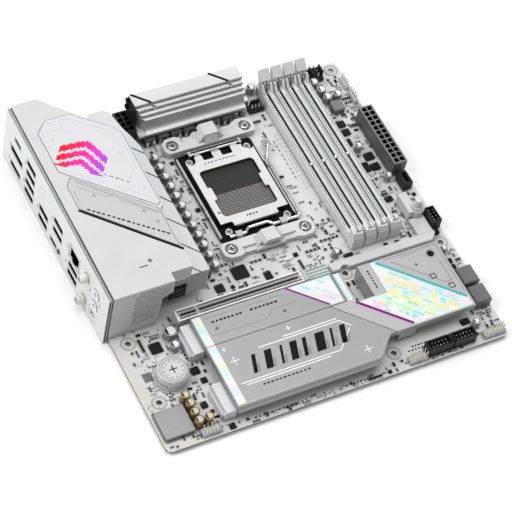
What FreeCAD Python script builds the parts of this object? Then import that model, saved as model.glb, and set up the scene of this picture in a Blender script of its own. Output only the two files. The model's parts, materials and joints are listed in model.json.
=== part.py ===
import FreeCAD, Part
import math
import os

# A micro-ATX computer motherboard with white covers, all sizes in millimetres.
#
# The pieces are drawn in board coordinates: x runs from the rear connector edge
# to the front edge, y from the expansion-slot edge to the processor edge, and z
# up from the underside of the printed circuit board. On export everything moves
# so that the origin is the centre of the datum mounting hole on the underside.

Vector = FreeCAD.Vector
X_AXIS = Vector(1, 0, 0)
Y_AXIS = Vector(0, 1, 0)
Z_AXIS = Vector(0, 0, 1)

# ---- printed circuit board ----
BOARD = 243.84
BOARD_T = 1.6
TOP = BOARD_T
BOARD_CORNER_R = 4.0
HOLE_R = 1.98
DATUM_X = 10.16
DATUM_Y = 80.01
MOUNT_HOLES = [
    (33.02, 237.49), (165.1, 237.49), (237.49, 237.49),
    (10.16, 80.01), (165.1, 80.01), (237.49, 80.01),
    (10.16, 34.29), (165.1, 13.97),
]

# ---- processor socket ----
CPU_X = 128.4
CPU_Y = 165.2
COOLER_DX = 54.0
COOLER_DY = 90.0
COOLER_SCREWS = [(CPU_X + sx * COOLER_DX / 2, CPU_Y + sy * COOLER_DY / 2)
                 for sx in (-1, 1) for sy in (-1, 1)]
SOCKET_SCREW_DX = 42.9
SOCKET_SCREW_DY = 60.4
SOCKET_SCREWS = [(CPU_X + sx * SOCKET_SCREW_DX / 2, CPU_Y - 0.5 + sy * SOCKET_SCREW_DY / 2)
                 for sx in (-1, 1) for sy in (-1, 1)]
POST_R = 2.4
POST_HOLE_R = 2.6
SCREW_R = 1.4
SCREW_HOLE_R = 1.6
LEVER_Y = 130.5
LEVER_Z = 4.2
LEVER_R = 1.1
LEVER_X = 157.6
HINGE_Y = 200.3
HINGE_Z = 4.2
HINGE_R = 1.1

# ---- memory slots ----
DIMM_PITCH = 9.3
DIMM_X = [181.9 + i * DIMM_PITCH for i in range(4)]
DIMM_HALF = 3.8
DIMM_TOP = 9.8
DIMM_Y0 = 95.0
CARD_Y0 = 97.3
CARD_Y1 = 230.6
DIMM_Y1 = 237.6
DIMM_KEY_Y = 163.2
LATCH_Y = 234.5
LATCH_Z = 4.4
CHEEK_TOP = 7.8
CHEEK_PEAK = 14.8

# ---- graphics slot and its release ----
PCIE_Y = 82.0
PCIE_X0 = 43.2
PCIE_X1 = 131.8
PCIE_TOP = 12.85
PCIE_KEY_X = 57.5
RELEASE_X = 135.6
RELEASE_Z = 3.8
BUTTON_X = 232.0
BUTTON_Y = 106.4
BUTTON_R = 3.6
BUTTON_STEM_R = 2.7
BUTTON_TOP = 18.4
COLLAR_R = 4.9

# ---- drive heatsinks ----
PLATE_TOP = 15.0
PLATE_LOW = 10.6
PLATE_X0 = 49.0
SPLIT_Y = 52.9
GAP = 0.4
PANEL_T = 0.7
M2_Y = [19.2, 64.6]
M2_LATCH_X = 127.0

# ---- rear connector block ----
SHIELD_X = -3.2
SHIELD_T = 0.8
SHIELD_Y0 = 88.4
SHIELD_Y1 = 248.6
SHIELD_Z0 = -2.2
SHIELD_Z1 = 42.2
SHROUD_TOP = 44.0
SHROUD_Y0 = 88.0
WALL = 1.6
PANEL_GAP = 0.35
PORT_BACK = 18.0

# ---- voltage regulator ----
REAR_SINK_X0 = 44.0
REAR_SINK_X1 = 71.0
REAR_SINK_Y0 = 97.0
REAR_SINK_Y1 = 236.5
SINK_TOP = 30.0
TOP_SINK_X0 = 81.5
TOP_SINK_X1 = 161.0
SINK_LOW = 9.4


# ------------------------------------------------------------------ helpers

def box(x0, x1, y0, y1, z0, z1):
    return Part.makeBox(x1 - x0, y1 - y0, z1 - z0, Vector(x0, y0, z0))


def post(x, y, z0, z1, radius):
    return Part.makeCylinder(radius, z1 - z0, Vector(x, y, z0), Z_AXIS)


def rod(start, end, radius):
    start = Vector(*start)
    reach = Vector(*end) - start
    return Part.makeCylinder(radius, reach.Length, start, reach)


def ball(centre, radius):
    return Part.makeSphere(radius, Vector(*centre))


def face_of(points):
    corners = [Vector(*p) for p in points]
    return Part.Face(Part.makePolygon(corners + [corners[0]]))


def prism(outline, z0, z1):
    flat = face_of([(x, y, z0) for x, y in outline])
    return flat.extrude(Vector(0, 0, z1 - z0))


def bar_x(profile, x0, x1):
    flat = face_of([(x0, y, z) for y, z in profile])
    return flat.extrude(Vector(x1 - x0, 0, 0))


def bar_y(profile, y0, y1):
    flat = face_of([(x, y0, z) for x, z in profile])
    return flat.extrude(Vector(0, y1 - y0, 0))


def inset_prism(outline, gap, z0, z1):
    """Plate that leaves an even gap inside an outline."""
    flat = face_of([(x, y, z0) for x, y in outline]).makeOffset2D(-gap, 2)
    return flat.extrude(Vector(0, 0, z1 - z0))


def upright_edges(shape):
    found = []
    for edge in shape.Edges:
        ends = edge.Vertexes
        if len(ends) == 2:
            run = ends[1].Point - ends[0].Point
            if abs(run.x) < 1e-6 and abs(run.y) < 1e-6:
                found.append(edge)
    return found


def rounded(x0, x1, y0, y1, z0, z1, radius):
    block = box(x0, x1, y0, y1, z0, z1)
    return block.makeFillet(radius, upright_edges(block))


def cut(shape, tools):
    return shape.cut(Part.makeCompound(tools))


def join(shapes):
    whole = shapes[0].multiFuse(shapes[1:])
    return whole.removeSplitter()


def ring(x, y, z0, z1, outer, inner):
    return post(x, y, z0, z1, outer).cut(post(x, y, z0, z1, inner))


def mirrored_y(shape, y):
    return shape.mirror(Vector(0, y, 0), Y_AXIS)


# ------------------------------------------------------------ circuit board

def pcb():
    board = rounded(0, BOARD, 0, BOARD, 0, BOARD_T, BOARD_CORNER_R)
    holes = [post(x, y, -1, 3, HOLE_R) for x, y in MOUNT_HOLES]
    holes += [post(x, y, -1, 3, POST_HOLE_R) for x, y in COOLER_SCREWS]
    holes += [post(x, y, -1, 3, SCREW_HOLE_R) for x, y in SOCKET_SCREWS]
    return [cut(board, holes)]


# ------------------------------------------------------------ rear connectors

# Each opening in the rear plate: centre y, centre z, width along y, height.
USB_OPENINGS = [(206.0, 31.4), (206.0, 22.4), (206.0, 13.4), (206.0, 4.6),
                (183.3, 13.4), (183.3, 4.6), (162.2, 26.4), (162.2, 17.4),
                (136.8, 12.5), (136.8, 4.6)]
USB_W = 13.4
USB_H = 5.2
DISPLAY_OPENING = (228.0, 18.4, 18.0, 5.6)
HDMI_OPENING = (228.0, 4.8, 15.4, 4.8)
USB_C_OPENINGS = [(166.2, 4.2), (228.0, 31.0)]
LAN_OPENING = (136.8, 24.6, 15.4, 13.4)
ANTENNAS = [(118.4, 29.0), (118.4, 6.4)]
ANTENNA_R = 3.2
JACKS = [(104.4, 29.0), (104.4, 17.2)]
JACK_R = 3.9
OPTICAL_OPENING = (105.6, 6.2, 9.6, 7.8)
REAR_BUTTON = (157.6, 5.2)
REAR_BUTTON_R = 1.7


def opening(y, z, width, height, depth=4.0):
    x0 = SHIELD_X - depth / 2
    return box(x0, x0 + depth, y - width / 2, y + width / 2, z - height / 2, z + height / 2)


def io_shield():
    """Rear plate with the port openings and a folded rim that stiffens it."""
    x1 = SHIELD_X + SHIELD_T
    plate = box(SHIELD_X, x1, SHIELD_Y0, SHIELD_Y1, SHIELD_Z0, SHIELD_Z1)
    rim_x1 = SHIELD_X + 3.0
    top = box(x1, rim_x1, SHIELD_Y0, SHIELD_Y1, SHIELD_Z1 - SHIELD_T, SHIELD_Z1)
    near = box(x1, rim_x1, SHIELD_Y0, SHIELD_Y0 + SHIELD_T, SHIELD_Z0, SHIELD_Z1)
    far = box(x1, rim_x1, SHIELD_Y1 - SHIELD_T, SHIELD_Y1, SHIELD_Z0, SHIELD_Z1)
    holes = [opening(y, z, USB_W + 0.6, USB_H + 0.6) for y, z in USB_OPENINGS]
    for y, z, width, height in (DISPLAY_OPENING, HDMI_OPENING, LAN_OPENING, OPTICAL_OPENING):
        holes.append(opening(y, z, width + 0.8, height + 0.8))
    holes += [opening(y, z, 10.2, 4.4) for y, z in USB_C_OPENINGS]
    for places, radius in ((ANTENNAS, ANTENNA_R + 0.4), (JACKS, JACK_R + 0.4),
                           ([REAR_BUTTON], REAR_BUTTON_R + 0.3)):
        holes += [rod((SHIELD_X - 2, y, z), (SHIELD_X + 3, y, z), radius) for y, z in places]
    return [cut(join([plate, top, near, far]), holes)]


def port_shell(y, z, width, height, wall=0.5, tongue=1.4):
    """Open metal box of a port, with the plastic tongue that carries the contacts."""
    x0 = SHIELD_X + 0.1
    y0 = y - width / 2
    z0 = z - height / 2
    shell = box(x0, PORT_BACK, y0, y0 + width, z0, z0 + height)
    mouth = box(x0, PORT_BACK - 3, y0 + wall, y0 + width - wall, z0 + wall, z0 + height - wall)
    shell = shell.cut(mouth)
    if tongue:
        blade_z = z + height / 6
        blade = box(x0 + 1.5, PORT_BACK - 2.5, y0 + 1.3, y0 + width - 1.3,
                    blade_z - tongue / 2, blade_z + tongue / 2)
        shell = shell.fuse(blade)
    return shell


def carrier(y0, y1, z0, z1, x0=-2.0):
    """Moulded body behind a port, sitting on the board."""
    return box(x0, PORT_BACK + 1, y0, y1, z0, z1)


def port_room(y, z, width, height):
    return box(-3, PORT_BACK, y - width / 2, y + width / 2, z - height / 2, z + height / 2)


def port_stack(y, width, levels, height, top):
    """Ports above each other in one body that stands on the board."""
    body = carrier(y - width / 2 - 0.9, y + width / 2 + 0.9, TOP, top, -1.8)
    for z in levels:
        body = body.cut(port_room(y, z, width, height))
    shells = [port_shell(y, z, width, height) for z in levels]
    return join([body] + shells)


def usb_ports():
    width, height = USB_W, USB_H
    stacks = [port_stack(206.0, width, [31.4, 22.4, 13.4, 4.6], height, 35.4),
              port_stack(183.3, width, [13.4, 4.6], height, 17.2),
              port_stack(162.2, width, [26.4, 17.4], height, 30.4),
              port_stack(136.8, width, [12.5, 4.6], height, 16.4)]
    # the lower bay of the third stack stays open for the small port and the push button
    stacks[2] = stacks[2].cut(box(-3, PORT_BACK - 4, 150.0, 175.0, 0, 13.0))
    small = join([carrier(161.9, 170.5, TOP, 6.0).cut(box(-3, PORT_BACK, 161.7, 170.7, 2.4, 6.1)),
                  port_shell(166.2, 4.2, 9.0, 3.2, 0.35, 0.7)]).common(box(-9, 13.5, 150, 180, 0, 20))
    upper = join([carrier(222.6, 233.4, 26.6, 29.2),
                  port_shell(228.0, 31.0, 9.0, 3.4, 0.35, 0.7)])
    return stacks + [small, upper]


def video_ports():
    y, z, width, height = DISPLAY_OPENING
    body = carrier(y - 10.4, y + 10.4, 7.8, 26.4).cut(port_room(y, z, width, height))
    upper = join([body, port_shell(y, z, width, height, 0.5, 1.6)])
    y, z, width, height = HDMI_OPENING
    body = carrier(y - 9.4, y + 9.4, TOP, 7.6).cut(port_room(y, z, width, height))
    lower = join([body, port_shell(y, z, width, height, 0.5, 1.4)])
    return [upper, lower]


def lan_port():
    """Network jack: a metal can with a stepped plug opening."""
    y, z, width, height = LAN_OPENING
    can = box(SHIELD_X + 0.1, PORT_BACK + 1, y - width / 2, y + width / 2, z - height / 2, z + height / 2)
    plug = box(SHIELD_X, 11, y - 5.9, y + 5.9, z - 3.4, z + 4.6)
    latch = box(SHIELD_X, 11, y - 3.1, y + 3.1, z - 5.4, z - 3.2)
    catch = box(SHIELD_X, 11, y - 1.6, y + 1.6, z - 6.0, z - 5.2)
    return [cut(can, [plug, latch, catch])]


def audio_jacks():
    solids = []
    for y, z in JACKS:
        body = carrier(y - 6.0, y + 6.0, z - 5.6, z + 5.4, -1.6)
        nose = rod((SHIELD_X - 0.6, y, z), (1, y, z), JACK_R)
        bore = rod((SHIELD_X - 1, y, z), (13, y, z), 1.8)
        solids.append(join([body, nose]).cut(bore))
    y, z, width, height = OPTICAL_OPENING
    optic = box(SHIELD_X + 0.1, PORT_BACK - 2, y - width / 2, y + width / 2, z - height / 2, z + height / 2)
    optic = optic.fuse(box(0.5, PORT_BACK - 2, y - width / 2, y + width / 2, TOP, z))
    mouth = box(SHIELD_X, 5, y - 3.0, y + 3.0, z - 2.6, z + 2.6)
    solids.append(optic.cut(mouth))
    return solids


def antenna_posts():
    """Radio module standing behind the rear plate, with its two threaded antenna posts."""
    module = box(0.5, 15, 113.0, 123.4, TOP, 33.4)
    module = join([module] + [rod((SHIELD_X - 5.4, y, z), (1, y, z), ANTENNA_R) for y, z in ANTENNAS])
    bores = [rod((SHIELD_X - 6, y, z), (SHIELD_X - 1, y, z), 2.3) for y, z in ANTENNAS]
    pins = [rod((SHIELD_X - 4.6, y, z), (SHIELD_X, y, z), 0.5) for y, z in ANTENNAS]
    return [join([cut(module, bores)] + pins)]


def bios_button():
    y, z = REAR_BUTTON
    cap = rod((SHIELD_X - 0.9, y, z), (1.2, y, z), REAR_BUTTON_R)
    flange = rod((-1.6, y, z), (-0.8, y, z), REAR_BUTTON_R + 0.7)
    return [join([cap, flange])]


# ------------------------------------------------------------------- shroud

SHROUD_OUTLINE = [(0, SHROUD_Y0), (41, SHROUD_Y0), (41, 94.5), (56, 94.5), (56, 141.5), (59, 144),
                  (59, 206), (54, 213.5), (38, 227), (17, 249), (0, 249)]
# Raised and inset areas of the shroud's top, in board coordinates.
LIGHT_PANEL = [(7, 222), (7, 189.5), (12.6, 184), (55, 144.5), (58, 146), (58, 205.5),
               (53.4, 212.5), (37.5, 226), (33, 230.5), (15, 230.5)]
TRIM_PANEL = [(12, 183), (7.4, 177), (7.4, 158.6), (55.2, 110.6), (55.2, 142.0)]


def shroud_walls():
    """Outer form of the cover, before it is hollowed from below."""
    lid = prism(SHROUD_OUTLINE, 31.5, SHROUD_TOP)
    near_face = [(0, TOP + 0.1), (32, TOP + 0.1), (33.4, 12), (34.2, 27.7), (41, 32.6), (41, 40), (0, 40)]
    near = bar_y(near_face, SHROUD_Y0, SHROUD_Y0 + WALL)
    far = box(0, 16, 249 - WALL, 249, TOP + 0.1, 40)
    return lid, near, far


def io_shroud():
    lid, near, far = shroud_walls()
    inner = [(-1, SHROUD_Y0 + WALL), (41 - WALL, SHROUD_Y0 + WALL), (41 - WALL, 94.5 + WALL),
             (56 - WALL, 94.5 + WALL), (56 - WALL, 141.5), (59 - WALL, 144), (59 - WALL, 205.5),
             (53, 212.3), (37, 225.7), (16, 249 - WALL), (-1, 249 - WALL)]
    shell = lid.cut(prism(inner, 30, SHROUD_TOP - 2.2))
    shell = join([shell, near, far])
    panels = [prism(LIGHT_PANEL, SHROUD_TOP - 0.8, SHROUD_TOP + 1),
              prism(TRIM_PANEL, SHROUD_TOP - 0.8, SHROUD_TOP + 1)]
    slot_line = [(6.2, 158.3), (7.4, 156.2), (56.2, 107.4), (56.2, 109.5)]
    slot = prism(slot_line, SHROUD_TOP - 1.2, SHROUD_TOP + 1)
    hatch_zone = bar_y([(15, 9), (31, 9), (33.6, 27), (39.8, 32.6), (39.8, 41.4), (15, 41.4)],
                       SHROUD_Y0 - 1, SHROUD_Y0 + 1)
    ribs = []
    for i in range(15):
        z = -12.0 + i * 3.4
        rib = bar_y([(15, z), (41, z + 26), (41, z + 27.3), (15, z + 1.3)], SHROUD_Y0 - 1, SHROUD_Y0 + 0.5)
        ribs.append(rib.common(hatch_zone))
    bevel = bar_y([(-1, SHROUD_TOP + 1), (-1, SHROUD_TOP - 1.1), (6.4, SHROUD_TOP), (6.4, SHROUD_TOP + 1)],
                  143, 250)
    return [cut(shell, panels + [slot, bevel] + ribs)]


def shroud_light_panel():
    """Clear lid over the lamp board; its underside sits in the recess of the cover."""
    return [inset_prism(LIGHT_PANEL, PANEL_GAP, SHROUD_TOP - 0.8, SHROUD_TOP + 0.2)]


def shroud_trim_panel():
    plate = inset_prism(TRIM_PANEL, PANEL_GAP, SHROUD_TOP - 0.8, SHROUD_TOP)
    line = prism([(13.5, 178.6), (13.9, 179.2), (54.2, 139.4), (53.8, 138.8)], SHROUD_TOP - 0.3, SHROUD_TOP + 1)
    return [plate.cut(line)]


# ------------------------------------------------------- voltage regulator

def rear_vrm_heatsink():
    """Aluminium block between the ports and the socket, half under the cover."""
    x0, x1 = REAR_SINK_X0, REAR_SINK_X1
    outline = [(x0, REAR_SINK_Y0), (x1, REAR_SINK_Y0), (x1, 201), (68.8, 210), (66.0, 219),
               (63.4, REAR_SINK_Y1 - 3), (60.4, REAR_SINK_Y1), (x0 + 6, REAR_SINK_Y1),
               (x0, REAR_SINK_Y1 - 6)]
    body = prism(outline, SINK_LOW, SINK_TOP)
    cuts = []
    for i in range(4):
        z = 13.6 + i * 3.6
        cuts.append(box(x1 - 2.4, x1 + 1, REAR_SINK_Y0 - 1, 200, z, z + 1.5))
    for i in range(6):
        y = 92.0 + i * 21.0
        groove = [(55, y + 16), (72, y - 4.5), (72, y - 3.1), (55, y + 17.4)]
        cuts.append(prism(groove, SINK_TOP - 1.0, 40))
    for i in range(3):
        z = 15.6 + i * 4.8
        cuts.append(box(x0 - 1, x0 + 4.6, REAR_SINK_Y0 - 1, REAR_SINK_Y1 + 1, z, z + 2.0))
    # relief over the row of coils
    cuts.append(box(72 - 1.6, 73, 90, 240, 0, 12))
    return [cut(body, cuts)]


# Near face of the upper heatsink: ledges, then a flat riser, a cove and a foot.
LEDGE_RUN = 2.4
LEDGE_DROP = 2.9
LEDGE_Y = 232.4
COVE_R = 4.8
FOOT_Y = 220.4
FOOT_Z = 11.8


def top_vrm_heatsink():
    """Extruded aluminium bar above the socket with stepped ledges, a cove and a foot."""
    profile = [(242.4, SINK_LOW), (242.4, SINK_TOP), (LEDGE_Y, SINK_TOP)]
    y, z = LEDGE_Y, SINK_TOP
    ledges = []
    for i in range(3):
        z -= LEDGE_DROP
        profile.append((y, z))
        ledges.append((y, z))
        y -= LEDGE_RUN
        profile.append((y, z))
    for i in range(7):
        angle = math.radians(15 * i)
        profile.append((FOOT_Y + COVE_R * math.cos(angle), FOOT_Z + COVE_R * (1 - math.sin(angle))))
    profile.append((FOOT_Y, SINK_LOW))
    body = bar_x(profile, TOP_SINK_X0, TOP_SINK_X1)
    cuts = [box(TOP_SINK_X0 - 1, TOP_SINK_X1 + 1, y - 0.1, y + 1.3, z, z + 0.9) for y, z in ledges]
    for z in (25.5, 20.5, 15.5):
        cuts.append(box(TOP_SINK_X0 - 1, TOP_SINK_X1 + 1, 238.6, 244, z, z + 2.4))
    for x in (90.0, 147.0):
        groove = [(x - 8.4, 243), (x - 6.4, 243), (x + 9.6, 227), (x + 7.6, 227)]
        cuts.append(prism(groove, SINK_TOP - 1.4, 32))
        over_ledges = box(x - 10, x + 10, 220, LEDGE_Y - 0.4, 0, 40)
        cuts.append(prism(groove, SINK_TOP - 4.6, 32).common(over_ledges))
    # the near left corner of the ledges is cut off at an angle
    x0 = TOP_SINK_X0
    corner = [(x0 - 1, LEDGE_Y + 1), (x0, LEDGE_Y), (x0 + 5.5, 225.4), (x0 + 5.5, 219), (x0 - 1, 219)]
    cuts.append(prism(corner, FOOT_Z, 32))
    return [cut(body, cuts)]


STAGE_YS = [104.0 + i * 10.4 for i in range(10)]
STAGE_XS = [87.0 + i * 9.6 for i in range(7)]


def vrm_power_stages():
    chips = [box(52, 57.5, y, y + 6.0, TOP, 2.6) for y in STAGE_YS]
    return chips + [box(x, x + 6.0, 233.0, 238.5, TOP, 2.6) for x in STAGE_XS]


def vrm_chokes():
    """Power inductors: a moulded block with a lead folded up on each side."""
    def choke(x, y, w, d):
        core = box(x, x + w, y, y + d, TOP, 8.4)
        core = core.makeChamfer(0.5, core.Edges)
        return core
    near = [choke(72.9, 107.0 + i * 10.6, 7.6, 9.2) for i in range(10)]
    return near + [choke(85.4 + i * 9.6, 218.0, 8.2, 7.4) for i in range(7)]


def thermal_pads():
    pads = [box(51, 59, REAR_SINK_Y0 + 4, 217.0, 2.6, SINK_LOW),
            box(85, 156, 232, 240, 2.6, SINK_LOW),
            box(188, 220, 32, 64, 3.2, 3.7)]
    pads += [box(52, 120, y - 9, y + 9, 9.8, PLATE_LOW) for y in M2_Y]
    return pads


def vrm_capacitors():
    return [can(86.1, 113.1 + i * 8.36, 3.0, 6.4) for i in range(12)]


def can(x, y, radius, height):
    """Aluminium can capacitor: square base, rounded can, pinched neck near the foot."""
    foot = box(x - radius, x + radius, y - radius, y + radius, TOP, TOP + 0.5)
    foot = foot.makeChamfer(0.5, upright_edges(foot))
    body = post(x, y, TOP + 0.5, TOP + height, radius)
    rim = [edge for edge in body.Edges if abs(edge.BoundBox.ZMin - TOP - height) < 1e-6]
    body = body.makeFillet(0.4, rim)
    neck = ring(x, y, TOP + 1.2, TOP + 1.6, radius + 1, radius - 0.25)
    return join([foot, body]).cut(neck)


def can_capacitors():
    places = [(36.6, 76.0, 4.0, 7.0), (35.6, 66.6, 3.0, 6.0), (154.0, 222.4, 2.5, 6.5),
              (160.2, 222.4, 2.5, 6.5), (165.2, 230.2, 3.1, 6.5), (174.2, 238.4, 3.0, 6.5),
              (218.2, 228.2, 3.0, 6.6), (220.2, 220.4, 3.0, 6.6), (221.2, 213.4, 3.0, 6.6),
              (229.2, 213.4, 3.0, 6.6), (165.0, 94.8, 2.5, 6.2), (221.4, 168.0, 2.5, 6.2),
              (228.6, 138.8, 2.5, 6.2), (234.2, 72.4, 2.4, 6.0), (225.4, 13.8, 2.6, 6.0)]
    return [can(x, y, radius, height) for x, y, radius, height in places]


def audio_capacitors():
    places = [(25.0, 30.0), (25.6, 23.8), (25.6, 17.4), (25.6, 11.0), (32.2, 11.0)]
    return [can(x, y, 2.9, 8.0) for x, y in places]


# ------------------------------------------------------------------- socket

SOCKET_X0 = CPU_X - 22.0
SOCKET_X1 = CPU_X + 22.0
SOCKET_Y0 = CPU_Y - 22.4
SOCKET_Y1 = CPU_Y + 21.6


def socket_body():
    body = rounded(SOCKET_X0, SOCKET_X1, SOCKET_Y0, SOCKET_Y1, TOP, 4.6, 1.0)
    well = rounded(SOCKET_X0 + 1.6, SOCKET_X1 - 1.6, SOCKET_Y0 + 1.6, SOCKET_Y1 - 1.6, 3.0, 6, 0.8)
    return [body.cut(well)]


def socket_contacts():
    """The two contact fields, which lean opposite ways."""
    x0, x1 = CPU_X - 20.0, CPU_X + 20.0
    middle = CPU_Y - 0.6
    return [box(x0, x1, SOCKET_Y0 + 2.0, middle - 0.1, 3.0, 3.6),
            box(x0, x1, middle + 0.1, SOCKET_Y1 - 2.0, 3.0, 3.6)]


FRAME_X0 = 99.2
FRAME_X1 = 155.8
FRAME_Y0 = 128.3
FRAME_Y1 = 202.8


def socket_frame():
    """Stamped steel frame: rails, knuckles for the lever and ears for the load plate."""
    base = rounded(FRAME_X0, FRAME_X1, FRAME_Y0, FRAME_Y1, TOP, 2.7, 2.0)
    window = box(SOCKET_X0 - 0.4, SOCKET_X1 + 0.4, SOCKET_Y0 - 0.4, SOCKET_Y1 + 0.4, 0, 9)
    base = base.cut(window)
    left = box(FRAME_X0, FRAME_X0 + 1.1, FRAME_Y0 + 3, FRAME_Y1 - 3, 2.7, 5.4)
    right = box(FRAME_X1 - 1.1, FRAME_X1, FRAME_Y0 + 6, 186, 2.7, 5.0)
    hook = box(FRAME_X1 - 1.1, FRAME_X1, 174, 179, 5.0, 6.6)
    far = box(FRAME_X0 + 8, FRAME_X1 - 8, FRAME_Y1 - 0.6, FRAME_Y1, 2.7, 5.0)
    knuckles = []
    for x0, x1 in ((110.0, 114.6), (142.4, 146.9)):
        knuckles.append(box(x0, x1, LEVER_Y - 2.1, LEVER_Y + 2.1, 2.7, LEVER_Z + 1.9))
    ears = []
    for x0 in (108.6, 145.8):
        ears.append(box(x0, x0 + 1.6, HINGE_Y - 2.0, HINGE_Y + 2.0, 2.7, HINGE_Z + 2.0))
    frame = join([base, left, right, hook, far] + knuckles + ears)
    bores = [rod((90, LEVER_Y, LEVER_Z), (160, LEVER_Y, LEVER_Z), LEVER_R + 0.1)]
    bores.append(rod((104, HINGE_Y, HINGE_Z), (152, HINGE_Y, HINGE_Z), HINGE_R + 0.1))
    bores += [post(x, y, 0, 9, SCREW_HOLE_R) for x, y in SOCKET_SCREWS]
    # room for the lever and the plate's hinge rod to turn above the base
    bores.append(box(115.5, 141.0, FRAME_Y0 - 1, LEVER_Y + 5.0, 2.3, 9))
    return [cut(frame, bores)]


def load_plate():
    """Hinged steel plate that presses the processor down."""
    low, high = 4.9, 6.3
    x0, x1 = CPU_X - 24.8, CPU_X + 24.6
    y0, y1 = CPU_Y - 28.3, CPU_Y + 31.6
    plate = rounded(x0, x1, y0, y1, low, high, 1.6)
    window = rounded(CPU_X - 20.0, CPU_X + 20.0, CPU_Y - 20.2, CPU_Y + 19.2, 3, 9, 3.0)
    notches = []
    for x, y in SOCKET_SCREWS:
        if y > CPU_Y:
            notches.append(post(x, y, 3, 9, 4.0))
            notches.append(box(x - 4.0, x + 4.0, y, y + 5, 3, 9))
        else:
            notches.append(rounded(x - 5.4, x + 5.0, y - 6.4, y + 6.0, 3, 9, 1.2))
    notches.append(rounded(CPU_X - 12.0, CPU_X - 4.6, y1 - 4.6, y1 + 3, 3, 9, 0.8))
    notches.append(rounded(CPU_X + 1.8, CPU_X + 9.4, y1 - 4.6, y1 + 3, 3, 9, 0.8))
    plate = cut(plate, [window] + notches)
    tabs = [rounded(CPU_X - 20.8, CPU_X - 17.6, CPU_Y - 5.6, CPU_Y + 5.2, low, high, 1.4),
            rounded(CPU_X + 17.6, CPU_X + 20.8, CPU_Y - 5.6, CPU_Y + 5.2, low, high, 1.4)]
    flanges = [box(x0, x0 + 1.2, CPU_Y - 18, CPU_Y + 22, 3.2, low + 0.1),
               box(x1 - 1.2, x1, CPU_Y - 18, CPU_Y + 22, 3.2, low + 0.1)]
    nose = bar_x([(y0 + 0.6, high), (y0 + 0.6, low), (y0 - 0.2, low - 1.0), (y0 - 0.2, high - 0.8)],
                 CPU_X - 15.4, CPU_X + 15.4)
    arms = []
    for a, b in ((-16.0, -12.4), (-4.2, 1.4), (9.8, 15.0)):
        arm = [(y1 - 0.4, high), (y1 - 0.4, low), (HINGE_Y - 0.4, HINGE_Z - 0.6), (HINGE_Y, HINGE_Z + 1.0)]
        arms.append(bar_x(arm, CPU_X + a, CPU_X + b))
    hinge = rod((108.9, HINGE_Y, HINGE_Z), (147.1, HINGE_Y, HINGE_Z), HINGE_R)
    return [join([plate] + tabs + flanges + [nose] + arms + [hinge])]


def wire(points, radius):
    """Round wire through the given points, with a ball at each bend."""
    parts = []
    for start, end in zip(points, points[1:]):
        parts.append(rod(start, end, radius))
    parts += [ball(point, radius) for point in points[1:-1]]
    return join(parts)


def load_lever():
    """Bent steel wire: an axle with a cranked middle, an arm and a finger tab."""
    y, z = LEVER_Y, LEVER_Z
    points = [(105.6, y, z), (117.2, y, z), (120.6, y + 3.0, z), (134.6, y + 3.0, z), (138.0, y, z),
              (LEVER_X - 1.6, y, z), (LEVER_X - 0.45, y + 0.5, z), (LEVER_X, y + 1.7, z),
              (LEVER_X, 180.5, z), (163.0, 190.0, z + 2.2)]
    lever = wire(points, LEVER_R)
    tab = box(159.6, 165.4, 189.2, 194.6, z + 1.2, z + 3.0)
    tab = tab.makeChamfer(0.5, tab.Edges)
    grooves = [box(159, 166, 190.6 + i * 1.5, 191.1 + i * 1.5, z + 2.6, z + 4) for i in range(3)]
    return [join([lever, tab]).cut(Part.makeCompound(grooves))]


def socket_screws():
    """Six-lobe screws that clamp the frame to the backplate."""
    screws = []
    for x, y in SOCKET_SCREWS:
        head = post(x, y, 2.7, 4.6, 2.7)
        rim = [edge for edge in head.Edges if abs(edge.BoundBox.ZMin - 4.6) < 1e-6]
        head = head.makeFillet(0.4, rim)
        drive = [post(x, y, 3.6, 6, 0.95)]
        for i in range(6):
            angle = math.radians(60 * i)
            drive.append(post(x + 1.15 * math.cos(angle), y + 1.15 * math.sin(angle), 3.6, 6, 0.42))
        screws.append(join([head, post(x, y, -1.6, 2.8, SCREW_R)]).cut(join(drive)))
    return screws


def socket_backplate():
    """Steel plate under the board, with a threaded post for each cooler screw."""
    plate = rounded(CPU_X - 32, CPU_X + 32, CPU_Y - 50.5, CPU_Y + 50.5, -2.4, -0.2, 6)
    window = rounded(CPU_X - 13, CPU_X + 13, CPU_Y - 16, CPU_Y + 16, -4, 2, 3)
    waist = [rounded(CPU_X + side * 32 - 6, CPU_X + side * 32 + 6, CPU_Y - 24, CPU_Y + 24, -4, 2, 3)
             for side in (-1, 1)]
    plate = cut(plate, [window] + waist)
    posts = [post(x, y, -0.3, 2.4, POST_R) for x, y in COOLER_SCREWS]
    plate = join([plate] + posts)
    holes = [post(x, y, -4, 4, 1.6) for x, y in COOLER_SCREWS]
    holes += [post(x, y, -4, 4, SCREW_R + 0.02) for x, y in SOCKET_SCREWS]
    return [cut(plate, holes)]


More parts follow.
